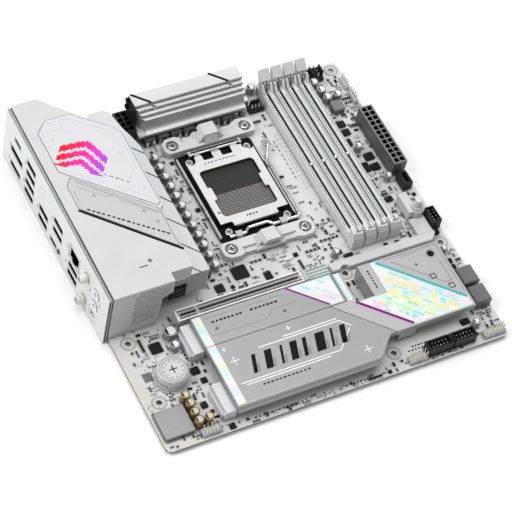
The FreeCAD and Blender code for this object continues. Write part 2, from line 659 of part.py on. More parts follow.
def cooler_bracket():
    """Moulded arm above the socket: a bar between two screws and a hook for the cooler."""
    y = CPU_Y + COOLER_DY / 2
    lo, hi = TOP + 0.05, 6.6
    half = COOLER_DX / 2
    bar = [(-half - 4.6, -6.0), (half + 4.6, -6.0), (half + 6.4, -3.0), (half + 6.4, 3.4), (half + 3.0, 6.4),
           (half - 4.0, 6.8), (half - 9.0, 4.6), (-half + 9.0, 4.6), (-half + 4.0, 6.8), (-half - 3.0, 6.4),
           (-half - 6.4, 3.4), (-half - 6.4, -3.0)]
    body = prism([(CPU_X + px, y + py) for px, py in bar], lo, hi)
    body = body.makeFillet(1.2, upright_edges(body))
    saddle = [(CPU_X - 21, hi + 1), (CPU_X - 18, hi - 1.5), (CPU_X + 18, hi - 1.5), (CPU_X + 21, hi + 1)]
    body = body.cut(bar_y(saddle, y + 1.0, y + 8))
    ramp = [(CPU_X - 11, hi - 2.5), (CPU_X - 5.2, 13.4), (CPU_X + 4.4, 13.4), (CPU_X + 11, hi - 2.5)]
    hook = bar_y(ramp, y - 3.6, y + 6.2)
    notch = box(CPU_X - 20, CPU_X + 20, y + 3.4, y + 7, 6.6, 10.2)
    hook = hook.cut(notch)
    lip = bar_x([(y - 6.0, hi - 0.6), (y - 3.4, 12.4), (y - 3.4, hi - 0.6)], CPU_X - 5.2, CPU_X + 4.4)
    body = join([body, hook, lip])
    seats = []
    for s in (-1, 1):
        seats.append(post(CPU_X + s * half, y, 4.4, 9, 4.3))
        seats.append(post(CPU_X + s * half, y, 0, 9, POST_R + 0.3))
    return cut(body, seats)


def cooler_bracket_far():
    return [cooler_bracket()]


def cooler_bracket_near():
    return [mirrored_y(cooler_bracket(), CPU_Y)]


def cooler_screws():
    """Cross-head screws with a wide washer head, held in the backplate's posts."""
    screws = []
    for x, y in COOLER_SCREWS:
        head = post(x, y, 4.4, 5.4, 4.0)
        dome = post(x, y, 5.4, 7.0, 3.0)
        rim = [edge for edge in dome.Edges if abs(edge.BoundBox.ZMin - 7.0) < 1e-6]
        dome = dome.makeFillet(0.7, rim)
        shank = post(x, y, -2.0, 4.5, 1.5)
        cross = [box(x - 2.0, x + 2.0, y - 0.4, y + 0.4, 5.8, 8),
                 box(x - 0.4, x + 0.4, y - 2.0, y + 2.0, 5.8, 8)]
        screws.append(cut(join([head, dome, shank]), cross))
    return screws


# ------------------------------------------------------------- memory slots

def dimm_slot(x):
    lo = TOP
    body = box(x - DIMM_HALF, x + DIMM_HALF, DIMM_Y0 + 5, CARD_Y1, lo, DIMM_TOP)
    wide = DIMM_HALF + 0.55
    tower = [(x - wide, DIMM_Y0), (x + wide, DIMM_Y0), (x + wide, DIMM_Y0 + 6.5),
             (x + DIMM_HALF, DIMM_Y0 + 8), (x - DIMM_HALF, DIMM_Y0 + 8), (x - wide, DIMM_Y0 + 6.5)]
    tower = prism(tower, lo, 17.0)
    shoulder = bar_x([(DIMM_Y0 - 1, 9.0), (DIMM_Y0 - 1, 18), (DIMM_Y0 + 2.2, 18)], x - 6, x + 6)
    slope = [(x + wide + 0.1, 7.0), (x + wide - 2.0, 18), (x + wide + 0.1, 18)]
    side_cut = bar_y(slope, DIMM_Y0 - 1, DIMM_Y0 + 9)
    tower = cut(tower, [shoulder, side_cut])
    base = box(x - DIMM_HALF, x + DIMM_HALF, CARD_Y1, DIMM_Y1, lo, 2.2)
    cheek = [(CARD_Y1 - 3.2, lo), (DIMM_Y1, lo), (DIMM_Y1, CHEEK_TOP), (CARD_Y1 + 2.0, CHEEK_TOP),
             (CARD_Y1 + 2.0, CHEEK_PEAK), (CARD_Y1 + 0.6, CHEEK_PEAK), (CARD_Y1 - 3.2, DIMM_TOP)]
    cheeks = [bar_x(cheek, x + a, x + b) for a, b in ((-DIMM_HALF, -2.3), (2.3, DIMM_HALF))]
    whole = join([body, tower, base] + cheeks)
    slit = box(x - 0.9, x + 0.9, CARD_Y0, CARD_Y1 + 1, 3.8, 20)
    bevel = bar_y([(x - 1.9, DIMM_TOP + 0.1), (x + 1.9, DIMM_TOP + 0.1), (x + 0.9, DIMM_TOP - 1.2),
                   (x - 0.9, DIMM_TOP - 1.2)], DIMM_Y0 + 8.2, CARD_Y1 + 1)
    grooves = [box(x + a, x + b, DIMM_Y0 + 10, CARD_Y1 - 3, DIMM_TOP - 0.7, DIMM_TOP + 1)
               for a, b in ((-3.3, -2.7), (2.7, 3.3))]
    pocket = rounded(x - 2.6, x + 2.6, DIMM_Y0 + 1.4, DIMM_Y0 + 8.4, 16.3, 20, 0.8)
    dimples = [post(x + side, DIMM_Y0 + 3.4, 14.6, 20, 0.6) for side in (-1.6, 1.6)]
    pivot = rod((x - 5, LATCH_Y, LATCH_Z), (x + 5, LATCH_Y, LATCH_Z), 1.1)
    whole = cut(whole, [slit, bevel, pocket, pivot] + dimples + grooves)
    key = box(x - 0.9, x + 0.9, DIMM_KEY_Y - 0.8, DIMM_KEY_Y + 0.8, 3.8, DIMM_TOP - 0.2)
    return join([whole, key])


def dimm_slots():
    return [dimm_slot(x) for x in DIMM_X]


def dimm_latch(x):
    """Swinging ejector: a foot under the module, a channel for its edge and a thumb pad."""
    half = 2.2
    pad_half = 3.55
    y, z = LATCH_Y, LATCH_Z
    lever = [(y - 3.2, z - 1.8), (y + 0.9, z - 1.8), (y + 2.2, z + 1), (y + 1.9, z + 5.4),
             (y - 0.6, z + 5.4), (y - 1.4, z + 1.2), (y - 3.2, z - 0.4)]
    head = [(y - 0.5, z + 5.0), (y + 1.9, z + 5.0), (y + 2.2, z + 8.8), (y + 5.0, z + 13.4),
            (y + 5.8, z + 17.4), (y + 4.6, z + 18.2), (y - 1.5, z + 12.8), (y - 1.5, z + 7.0)]
    hook = [(y - 1.3, z + 8.6), (y - 2.9, z + 9.6), (y - 2.9, z + 10.8), (y - 1.3, z + 11.8)]
    body = join([bar_x(lever, x - half, x + half), bar_x(head, x - pad_half, x + pad_half),
                 bar_x(hook, x - 1.6, x + 1.6)])
    channel = box(x - 0.8, x + 0.8, y - 4, y - 0.4, z + 6.2, z + 12.2)
    pins = rod((x - 3.2, y, z), (x + 3.2, y, z), 1.0)
    return join([body.cut(channel), pins])


def slot_contacts():
    """Spring contacts in the memory slots and the graphics slot, one strip per side."""
    strips = []
    for x in DIMM_X:
        for y0, y1 in ((CARD_Y0 + 3, DIMM_KEY_Y - 1.4), (DIMM_KEY_Y + 1.4, CARD_Y1 - 3)):
            strips.append(box(x - 0.85, x + 0.85, y0, y1, 3.85, 4.2))
    for x0, x1 in ((PCIE_X0 + 2.4, PCIE_KEY_X - 1.2), (PCIE_KEY_X + 1.2, PCIE_X1 - 3.0)):
        strips.append(box(x0, x1, PCIE_Y - 0.85, PCIE_Y + 0.85, 4.05, 4.5))
    return strips


# ------------------------------------------------------------ graphics slot

def pcie_slot():
    x0, x1, y = PCIE_X0, PCIE_X1, PCIE_Y
    body = box(x0, x1, y - 3.7, y + 3.7, TOP, PCIE_TOP - 0.3)
    slits = [box(x0 + 2.0, PCIE_KEY_X - 0.9, y - 0.9, y + 0.9, 4.0, 20),
             box(PCIE_KEY_X + 0.9, x1 - 2.4, y - 0.9, y + 0.9, 4.0, 20)]
    grooves = []
    for side in (-2.6, 2.6):
        grooves.append(box(x0 + 1.4, PCIE_KEY_X - 1.4, y + side - 0.5, y + side + 0.5, PCIE_TOP - 1.3, 20))
        grooves.append(box(PCIE_KEY_X + 1.4, x1 - 1.4, y + side - 0.5, y + side + 0.5, PCIE_TOP - 1.3, 20))
    return [cut(body, slits + grooves)]


def pcie_slot_shell():
    """Steel sleeve around the slot, with its lips folded over the top edge."""
    x0, x1, y = PCIE_X0, PCIE_X1, PCIE_Y
    outer = rounded(x0 - 0.6, x1 + 0.6, y - 4.3, y + 4.3, TOP, PCIE_TOP, 0.6)
    inner = box(x0 - 0.05, x1 + 0.05, y - 3.75, y + 3.75, 0, PCIE_TOP - 0.25)
    mouth = box(x0 + 0.9, x1 - 0.9, y - 3.2, y + 3.2, 0, 20)
    feet = [box(x0 + 9 + i * 17.4, x0 + 13 + i * 17.4, y - 6, y + 6, 0, 2.6) for i in range(5)]
    return [cut(outer, [inner, mouth] + feet)]


def pcie_latch():
    """Clear moulded lever that hooks the card; its arm reaches back over the link."""
    y = PCIE_Y
    x, z = RELEASE_X, RELEASE_Z
    side = [(x - 1.4, z - 1.2), (x + 1.6, z - 1.4), (x + 3.4, z + 1.6), (x + 8.0, z + 3.4),
            (x + 15.4, z + 4.6), (x + 15.4, z + 8.2), (x + 1.0, z + 8.2), (x - 1.4, z + 9.4),
            (x - 2.6, z + 8.6), (x - 2.6, z + 7.2), (x - 1.2, z + 6.4)]
    body = bar_y(side, y - 3.9, y + 3.9)
    cuts = [box(x + 1.0, x + 16, y + s - 0.55, y + s + 0.55, z + 6.9, z + 12) for s in (-2.4, 0.0, 2.4)]
    body = cut(body, cuts)
    pins = rod((x, y - 4.6, z), (x, y + 4.6, z), 1.0)
    return [join([body, pins])]


def release_cover():
    """Channel over the release link, an elbow, a block and the button's collar."""
    y0, y1 = 81.6, 88.4
    top = 6.0
    bar = box(155.8, 236.0, y0, y1, TOP, top)
    bar = bar.makeChamfer(0.5, [edge for edge in bar.Edges if abs(edge.BoundBox.ZMin - top) < 1e-6])
    corner = prism([(231.0, y0 - 0.1), (236.1, y0 - 0.1), (236.1, y0 + 5.0)], TOP - 1, top + 1)
    elbow = box(224.6, 236.0, y1 - 0.5, 102.5, TOP, 4.4)
    block = rounded(224.7, 231.0, 103.6, 120.4, TOP, 10.0, 0.8)
    collar = post(BUTTON_X, BUTTON_Y, TOP, 10.0, COLLAR_R)
    rim = [edge for edge in collar.Edges if abs(edge.BoundBox.ZMin - 10.0) < 1e-6]
    collar = collar.makeFillet(0.6, rim)
    channel = box(150, 227.0, 84.5, 86.7, TOP - 1, 4.6)
    bore = post(BUTTON_X, BUTTON_Y, TOP - 1, 12, BUTTON_R + 0.1)
    clear = post(237.49, 80.01, 0, 12, 4.9).fuse(post(165.1, 80.01, 0, 12, 4.0))
    yokes = []
    for s in (-1, 1):
        yoke = box(RELEASE_X - 2.0, RELEASE_X + 2.0, PCIE_Y + s * 5.0 - 0.8, PCIE_Y + s * 5.0 + 0.8,
                   TOP, RELEASE_Z + 2.0)
        yokes.append(yoke)
    pivot = rod((RELEASE_X, PCIE_Y - 6, RELEASE_Z), (RELEASE_X, PCIE_Y + 6, RELEASE_Z), 1.1)
    main = cut(join([bar, elbow, block, collar]), [channel, bore, clear, corner])
    return [main] + [yoke.cut(pivot) for yoke in yokes]


def release_link():
    rail = box(156.5, 223.0, 84.7, 86.5, 2.2, 4.3)
    return [rail]


def release_button():
    stem = post(BUTTON_X, BUTTON_Y, 5.2, BUTTON_TOP, BUTTON_STEM_R)
    rim = [edge for edge in stem.Edges if abs(edge.BoundBox.ZMin - BUTTON_TOP) < 1e-6]
    stem = stem.makeFillet(1.0, rim)
    skirt = post(BUTTON_X, BUTTON_Y, 5.2, 11.8, BUTTON_R)
    rim = [edge for edge in skirt.Edges if abs(edge.BoundBox.ZMin - 11.8) < 1e-6]
    return [join([stem, skirt.makeFillet(0.5, rim)])]


# ------------------------------------------------ drive bays and heatsinks

UPPER_PLATE = [(PLATE_X0, SPLIT_Y + GAP / 2), (148.6, SPLIT_Y + GAP / 2), (148.6, 75.8), (PLATE_X0, 75.8)]
LOWER_PLATE = [(PLATE_X0, 5.2), (147.7, 5.2), (163.9, 21.0), (168.0, 21.0), (136.9, SPLIT_Y - GAP / 2),
               (PLATE_X0, SPLIT_Y - GAP / 2)]
CHIPSET_PLATE = [(137.5, SPLIT_Y - GAP / 2), (168.6, 21.0), (227.2, 21.0), (227.2, 74.5), (168.0, 74.5),
                 (168.0, 50.4), (155.0, 50.4), (155.0, 74.5), (149.1, 74.5), (149.1, SPLIT_Y - GAP / 2)]
UPPER_PANEL = [(115.6, 75.0), (147.4, 75.0), (147.4, SPLIT_Y + 0.9), (137.2, SPLIT_Y + 0.9)]
CHIPSET_PANEL = [(153.4, 49.6), (176.9, 49.6), (176.9, 73.6), (181.4, 73.6), (225.6, 29.6), (225.6, 22.0),
                 (181.2, 22.0)]
STRIP_X1 = 55.2


def recess(outline):
    return prism(outline, PLATE_TOP - PANEL_T + 0.1, PLATE_TOP + 1)


def strip_recess():
    return box(PLATE_X0 + 0.6, STRIP_X1, 6.0 + 2.2, 75.0, PLATE_TOP - PANEL_T + 0.1, PLATE_TOP + 1)


def m2_heatsink_upper():
    plate = prism(UPPER_PLATE, PLATE_LOW, PLATE_TOP)
    legs = [post(138.5, 64.6, TOP + 0.05, PLATE_LOW + 0.5, 3.2)]
    return [cut(join([plate] + legs), [recess(UPPER_PANEL), strip_recess()])]


def m2_heatsink_lower():
    plate = prism(LOWER_PLATE, PLATE_LOW, PLATE_TOP)
    front = [edge for edge in plate.Edges
             if abs(edge.BoundBox.YMax - 5.2) < 1e-6 and edge.BoundBox.ZMin > 14]
    plate = plate.makeFillet(3.4, front)
    legs = [post(x, y, TOP + 0.05, PLATE_LOW + 0.5, 3.2) for x, y in ((150.5, 22.0), (60.0, 42.0))]
    groove = prism([(121.6, 75), (122.0, 75.4), (171, 26.4), (170.6, 26)], PLATE_TOP - 0.4, PLATE_TOP + 1)
    return [cut(join([plate] + legs), [strip_recess(), groove])]


def chipset_heatsink():
    """Cast aluminium cover over the chipset, with walls and a foot on the chip."""
    plate = prism(CHIPSET_PLATE, 10.2, PLATE_TOP)
    front = box(171.5, 184.0, 21.0, 23.4, 3.6, 10.3)
    side = box(168.0, 170.4, 51.5, 74.5, 3.6, 10.3)
    foot = box(186, 222, 30, 66, 3.7, 10.3)
    body = join([plate, front, side, foot])
    corner = [(186.0, 73.2), (225.8, 73.2), (225.8, 33.6), (225.4, 33.6), (225.4, 72.8), (186.4, 72.8)]
    outline = prism(corner, PLATE_TOP - 0.3, PLATE_TOP + 1)
    edge = prism([(177.1, 50.0), (177.4, 50.0), (177.4, 74), (177.1, 74)], PLATE_TOP - 0.4, PLATE_TOP + 1)
    return [cut(body, [recess(CHIPSET_PANEL), outline, edge])]


def inlay(outline):
    return prism(outline, PLATE_TOP - PANEL_T + 0.1, PLATE_TOP + 0.1)


def m2_panel():
    return [inlay(UPPER_PANEL)]


def chipset_panel():
    return [inlay(CHIPSET_PANEL)]


def edge_strip():
    y0, y1 = 8.2, 75.0
    z0, z1 = PLATE_TOP - PANEL_T + 0.1, PLATE_TOP + 0.1
    return [box(PLATE_X0 + 0.6, STRIP_X1, y0, SPLIT_Y - GAP / 2, z0, z1),
            box(PLATE_X0 + 0.6, STRIP_X1, SPLIT_Y + GAP / 2, y1, z0, z1)]


def chipset_chip():
    base = box(191.5, 216.5, 35.5, 60.5, TOP, 2.4)
    die = box(198, 210, 42, 54, 2.4, 3.2)
    return [join([base, die])]


def m2_connector(y):
    x0, x1 = 40.8, 49.7
    body = join([box(42.4, x1, y - 11.0, y + 11.0, TOP, 10.0), box(x0, 42.5, y - 9.6, y + 9.6, TOP, 6.4)])
    cheek = prism([(x0, y - 11.0), (42.5, y - 11.0), (42.5, y - 7.6)], TOP, 8.6)
    mouth = box(45.2, x1 + 1, y - 9.9, y + 9.9, 7.4, 8.9)
    return cut(join([body, cheek]), [mouth])


def m2_connectors():
    return [m2_connector(y) for y in M2_Y]


def m2_latch(y):
    """Quarter-turn catch that holds the end of a drive, on its own post."""
    x = M2_LATCH_X
    stem = post(x, y, TOP + 0.1, 6.2, 1.9)
    collar = post(x, y, TOP + 0.1, 5.4, 2.7)
    disc = post(x, y, 6.2, 8.6, 3.2)
    finger = box(x - 5.2, x, y - 1.5, y + 1.5, 6.9, 8.6)
    return join([stem, collar, disc, finger])


# ---------------------------------------------------------- board headers

def power_shell(x0, y0, rows, columns, pitch, top):
    """Keyed power socket standing on the board, one square well for each pin."""
    margin = 0.7
    x1 = x0 + rows * pitch + 2 * margin
    y1 = y0 + columns * pitch + 2 * margin
    shell = box(x0, x1, y0, y1, TOP, top)
    wells = []
    for row in range(rows):
        for column in range(columns):
            cx = x0 + margin + (row + 0.5) * pitch
            cy = y0 + margin + (column + 0.5) * pitch
            well = box(cx - 1.75, cx + 1.75, cy - 1.75, cy + 1.75, 3.2, top + 1)
            if (row + column) % 2:
                well = well.makeChamfer(0.9, upright_edges(well)[:2])
            wells.append(well)
    return cut(shell, wells)


ATX_X, ATX_Y = 232.6, 140.2
EPS_X, EPS_Y = 71.4, 224.6
POWER_PITCH = 4.2


def power_connectors():
    atx = power_shell(ATX_X, ATX_Y, 2, 12, POWER_PITCH, 15.0)
    side = ATX_X + 2 * POWER_PITCH + 1.4
    ramp = bar_y([(side, 9.0), (side, 13.6), (side + 1.2, 12.6)], ATX_Y + 22, ATX_Y + 30)
    eps = power_shell(EPS_X, EPS_Y, 2, 4, POWER_PITCH, 15.0)
    return [join([atx, ramp]), eps]


def pin_grid(x0, y0, nx, ny, z0, z1, pitch=2.54, half=0.32):
    pins = []
    for i in range(nx):
        for j in range(ny):
            x, y = x0 + i * pitch, y0 + j * pitch
            pins.append(box(x - half, x + half, y - half, y + half, z0, z1))
    return pins


# Fan and pump headers: corner and the number of pins along each side.
FAN_HEADERS = [(165.4, 220.6, 4, 1), (215.0, 231.2, 1, 4), (222.4, 231.2, 1, 4)]
# Plain pin blocks along the front and lower edges.
OPEN_HEADERS = [(24.8, 2.0, 5, 2), (171.2, 2.0, 5, 2), (226.6, 2.2, 6, 2), (239.0, 205.0, 1, 4),
                (239.0, 218.0, 1, 4)]
# Shrouded data headers: outline and the number of pins each way.
BOX_HEADERS = [(184.4, 3.0, 17.6, 7.2, 5, 2), (203.2, 3.0, 16.4, 7.2, 5, 2), (236.9, 91.3, 6.2, 12.7, 2, 4)]
HEADER_PITCH = 2.54


def pin_headers():
    solids = []
    for x, y, nx, ny in FAN_HEADERS:
        w = nx * HEADER_PITCH + (0.8 if nx > 1 else 3.2)
        d = ny * HEADER_PITCH + (0.8 if ny > 1 else 3.2)
        base = box(x, x + w, y, y + d, TOP, 4.4)
        if nx > 1:
            wall = box(x + 2, x + w - 2, y + d - 1.0, y + d, TOP, 9.4)
        else:
            wall = box(x + w - 1.0, x + w, y + 2, y + d - 2, TOP, 9.4)
        solids.append(join([base, wall]))
    for x, y, nx, ny in OPEN_HEADERS:
        solids.append(box(x, x + nx * HEADER_PITCH, y, y + ny * HEADER_PITCH, TOP, 4.1))
    for x, y, w, d, nx, ny in BOX_HEADERS:
        well = box(x + 0.9, x + w - 0.9, y + 0.9, y + d - 0.9, 4.0, 12)
        shell = box(x, x + w, y, y + d, TOP, 10.0).cut(well)
        solids.append(shell)
    # tall narrow header with a metal sleeve for the front panel's small plug
    slim = box(234.2, 240.8, 126.6, 137.4, TOP, 8.6)
    slot = box(236.6, 239.6, 128.0, 136.0, 3.0, 12)
    solids.append(slim.cut(slot))
    return solids


def header_pins():
    pins = []
    half = HEADER_PITCH / 2
    for x, y, nx, ny in FAN_HEADERS:
        x0 = x + (0.4 + half if nx > 1 else 1.6)
        y0 = y + (0.4 + half if ny > 1 else 1.6)
        pins += pin_grid(x0, y0, nx, ny, 4.4, 9.2)
    for x, y, nx, ny in OPEN_HEADERS:
        pins += pin_grid(x + half, y + half, nx, ny, 4.1, 9.6)
    for x, y, w, d, nx, ny in BOX_HEADERS:
        x0 = x + (w - (nx - 1) * HEADER_PITCH) / 2
        y0 = y + (d - (ny - 1) * HEADER_PITCH) / 2
        pins += pin_grid(x0, y0, nx, ny, 4.0, 9.0)
    for x, y, nx, ny in ((ATX_X, ATX_Y, 2, 12), (EPS_X, EPS_Y, 2, 4)):
        x0 = x + 0.7 + POWER_PITCH / 2
        pins += pin_grid(x0, y + 0.7 + POWER_PITCH / 2, nx, ny, 3.2, 11.5, POWER_PITCH, 0.55)
    return pins


def sata_connectors():
    """Two drive data sockets lying on the board, mouths towards the front edge."""
    solids = []
    for y0 in (24.6, 40.4):
        body = box(231.4, 243.2, y0, y0 + 13.4, TOP, 9.4)
        body = body.makeChamfer(0.6, [edge for edge in body.Edges if abs(edge.BoundBox.ZMin - 9.4) < 1e-6])
        mouth = box(236.0, 244, y0 + 1.4, y0 + 12.0, 3.0, 7.8)
        blade = box(235.5, 242.6, y0 + 2.2, y0 + 10.6, 4.7, 5.9)
        solids.append(join([body.cut(mouth), blade]))
    return solids


# ----------------------------------------------------------- small parts

BATTERY_X, BATTERY_Y = 25.2, 48.6


def battery_holder():
    """Round covered holder; the cell slides in through the slot in its rear side."""
    x, y = BATTERY_X, BATTERY_Y
    skirt = Part.makeCone(10.9, 10.5, 6.4, Vector(x, y, TOP), Z_AXIS)
    lid = post(x, y, 8.0, 10.6, 9.9)
    rim = [edge for edge in lid.Edges if abs(edge.BoundBox.ZMin - 10.6) < 1e-6]
    lid = lid.makeChamfer(0.9, rim)
    body = join([skirt, lid])
    cavity = post(x, y, 3.4, 6.9, 10.15)
    slot = box(x - 14, x, y - 8.2, y + 8.2, 3.4, 6.9)
    return [cut(body, [cavity, slot])]


def battery_cell():
    cell = post(BATTERY_X, BATTERY_Y, 3.4, 6.6, 10.0)
    rim = [edge for edge in cell.Edges if edge.BoundBox.ZLength < 1e-6]
    return [cell.makeFillet(0.5, rim)]


def audio_shield():
    can_box = rounded(2.0, 22.0, 7.0, 27.0, TOP, 5.4, 1.0)
    top = [edge for edge in can_box.Edges if edge.BoundBox.ZLength < 1e-6 and edge.BoundBox.ZMin > 5]
    can_box = can_box.makeFillet(0.5, top)
    return [can_box.cut(box(2.5, 21.5, 7.5, 26.5, 0, 4.9))]


# Flat chip packages: corner x, corner y, width, depth and height.
CHIPS = [(21.2, 67.2, 7.5, 7.5, 0.9), (33.2, 20.6, 4, 4.4, 0.9), (37.8, 44.6, 5.6, 5.2, 1.0),
         (95.2, 99.8, 10.2, 9.6, 1.0), (79.6, 94.8, 5.8, 5.8, 1.0), (114.4, 92.6, 4.4, 6.4, 1.2),
         (170.6, 91.2, 6.4, 2.0, 1.2), (218.0, 189.2, 5.8, 4.8, 1.4), (218.0, 181.8, 5.8, 4.8, 1.4),
         (215.6, 172.6, 5.0, 5.8, 1.2), (223.0, 157.4, 6.4, 5.8, 1.4), (215.6, 149.0, 6.6, 7.4, 1.4),
         (223.2, 148.4, 6.0, 5.4, 1.4), (219.2, 121.6, 5.0, 4.0, 1.0), (217.8, 16.6, 6.0, 4.0, 1.0),
         (233.0, 57.8, 4.0, 3.2, 1.2), (233.0, 62.8, 4.0, 3.2, 1.2), (236.6, 86.4, 3.4, 4.6, 2.0),
         (9.0, 11.0, 9.0, 9.0, 1.0)]


def ic_packages():
    chips = [box(x, x + w, y, y + d, TOP, TOP + h) for x, y, w, d, h in CHIPS]
    coil = box(221.0, 229.0, 200.6, 209.8, TOP, 6.6)
    coil = coil.makeChamfer(0.6, coil.Edges)
    return chips + [coil]


def heatsink_screws():
    """Cross-head screws under the board that pull the regulator heatsinks down."""
    screws = []
    for x, y in ((60.0, 104.0), (60.0, 216.0), (90.0, 241.0), (152.0, 241.0)):
        head = post(x, y, -2.0, -0.1, 2.6)
        cross = [box(x - 1.6, x + 1.6, y - 0.35, y + 0.35, -3, -1.4),
                 box(x - 0.35, x + 0.35, y - 1.6, y + 1.6, -3, -1.4)]
        screws.append(cut(head, cross))
    return screws


# ------------------------------------------------------------------ export

NODES = {
    "pcb": pcb,
    "io_shroud": io_shroud,
    "shroud_light_panel": shroud_light_panel,
    "shroud_trim_panel": shroud_trim_panel,
    "io_shield": io_shield,
    "usb_ports": usb_ports,
    "video_ports": video_ports,
    "lan_port": lan_port,
    "audio_jacks": audio_jacks,
    "antenna_posts": antenna_posts,
    "bios_button": bios_button,
    "rear_vrm_heatsink": rear_vrm_heatsink,
    "top_vrm_heatsink": top_vrm_heatsink,
    "thermal_pads": thermal_pads,
    "vrm_chokes": vrm_chokes,
    "vrm_power_stages": vrm_power_stages,
    "vrm_capacitors": vrm_capacitors,
    "can_capacitors": can_capacitors,
    "audio_capacitors": audio_capacitors,
    "socket_body": socket_body,
    "socket_contacts": socket_contacts,
    "socket_frame": socket_frame,
    "load_plate": load_plate,
    "load_lever": load_lever,
    "socket_screws": socket_screws,
    "socket_backplate": socket_backplate,
    "cooler_bracket_far": cooler_bracket_far,
    "cooler_bracket_near": cooler_bracket_near,
    "cooler_screws": cooler_screws,
    "dimm_slots": dimm_slots,
    "slot_contacts": slot_contacts,
    "dimm_latch_1": lambda: [dimm_latch(DIMM_X[0])],
    "dimm_latch_2": lambda: [dimm_latch(DIMM_X[1])],
    "dimm_latch_3": lambda: [dimm_latch(DIMM_X[2])],
    "dimm_latch_4": lambda: [dimm_latch(DIMM_X[3])],
    "pcie_slot": pcie_slot,
    "pcie_slot_shell": pcie_slot_shell,
    "pcie_latch": pcie_latch,
    "release_cover": release_cover,
    "release_link": release_link,
    "release_button": release_button,
    "m2_heatsink_upper": m2_heatsink_upper,
    "m2_heatsink_lower": m2_heatsink_lower,
    "chipset_heatsink": chipset_heatsink,
    "m2_panel": m2_panel,
    "chipset_panel": chipset_panel,
    "edge_strip": edge_strip,
    "chipset_chip": chipset_chip,
    "m2_connectors": m2_connectors,
    "m2_latch_lower": lambda: [m2_latch(M2_Y[0])],
    "m2_latch_upper": lambda: [m2_latch(M2_Y[1])],
    "power_connectors": power_connectors,
    "sata_connectors": sata_connectors,
    "pin_headers": pin_headers,
    "header_pins": header_pins,
    "battery_holder": battery_holder,
    "battery_cell": battery_cell,
    "audio_shield": audio_shield,
    "ic_packages": ic_packages,
    "heatsink_screws": heatsink_screws,
}


def main():
    os.makedirs("parts", exist_ok=True)
    for name, make in NODES.items():
        whole = Part.makeCompound(make())
        whole.translate(Vector(-DATUM_X, -DATUM_Y, 0))
        whole.exportStep("parts/" + name + ".step")


main()
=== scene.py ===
import json
import math
import random

import bpy
from mathutils import Matrix, Vector


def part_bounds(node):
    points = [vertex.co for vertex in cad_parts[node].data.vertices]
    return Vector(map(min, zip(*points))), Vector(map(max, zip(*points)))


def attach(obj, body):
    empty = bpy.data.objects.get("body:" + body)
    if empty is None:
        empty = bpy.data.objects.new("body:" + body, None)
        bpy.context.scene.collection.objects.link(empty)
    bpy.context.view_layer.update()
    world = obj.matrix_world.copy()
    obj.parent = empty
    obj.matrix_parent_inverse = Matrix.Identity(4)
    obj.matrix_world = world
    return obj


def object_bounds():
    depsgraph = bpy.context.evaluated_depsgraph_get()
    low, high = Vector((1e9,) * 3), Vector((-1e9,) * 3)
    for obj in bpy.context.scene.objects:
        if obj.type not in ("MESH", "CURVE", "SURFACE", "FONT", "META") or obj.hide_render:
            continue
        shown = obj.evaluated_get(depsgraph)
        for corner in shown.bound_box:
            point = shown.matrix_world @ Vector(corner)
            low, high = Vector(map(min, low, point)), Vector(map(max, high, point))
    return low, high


# The looks of a white micro-ATX motherboard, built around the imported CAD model.
#
# The CAD nodes keep their shapes and get their finishes here. Chip resistors, leads, solder, printed
# marks and plated rings are added as meshes that ride on the board. Places are in millimetres from
# the board's rear corner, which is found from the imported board's own box.

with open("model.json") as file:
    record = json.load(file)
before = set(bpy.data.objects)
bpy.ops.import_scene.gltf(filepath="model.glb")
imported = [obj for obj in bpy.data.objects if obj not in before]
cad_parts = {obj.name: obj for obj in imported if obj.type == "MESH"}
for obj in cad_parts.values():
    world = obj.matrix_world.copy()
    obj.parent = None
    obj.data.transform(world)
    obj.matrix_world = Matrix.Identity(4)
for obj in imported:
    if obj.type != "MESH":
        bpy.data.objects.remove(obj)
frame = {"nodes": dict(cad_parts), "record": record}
cad_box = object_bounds()
nodes = frame["nodes"]

MM = 0.001
board_low, board_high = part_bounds("pcb")
BOARD_SIDE = (board_high.x - board_low.x) / MM
TOP = board_high.z / MM
# where board millimetres start on each axis
START = {"X": board_low.x, "Y": board_low.y, "Z": 0.0}
# half the thickness of a printed film
FILM = 0.03


def part_box(name):
    """A node's box in board millimetres: x0, x1, y0, y1, z0, z1."""
    low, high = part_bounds(name)
    return ((low.x - board_low.x) / MM, (high.x - board_low.x) / MM,
            (low.y - board_low.y) / MM, (high.y - board_low.y) / MM, low.z / MM, high.z / MM)


# ------------------------------------------------------------------ materials

def grey(value):
    return (value, value, value)


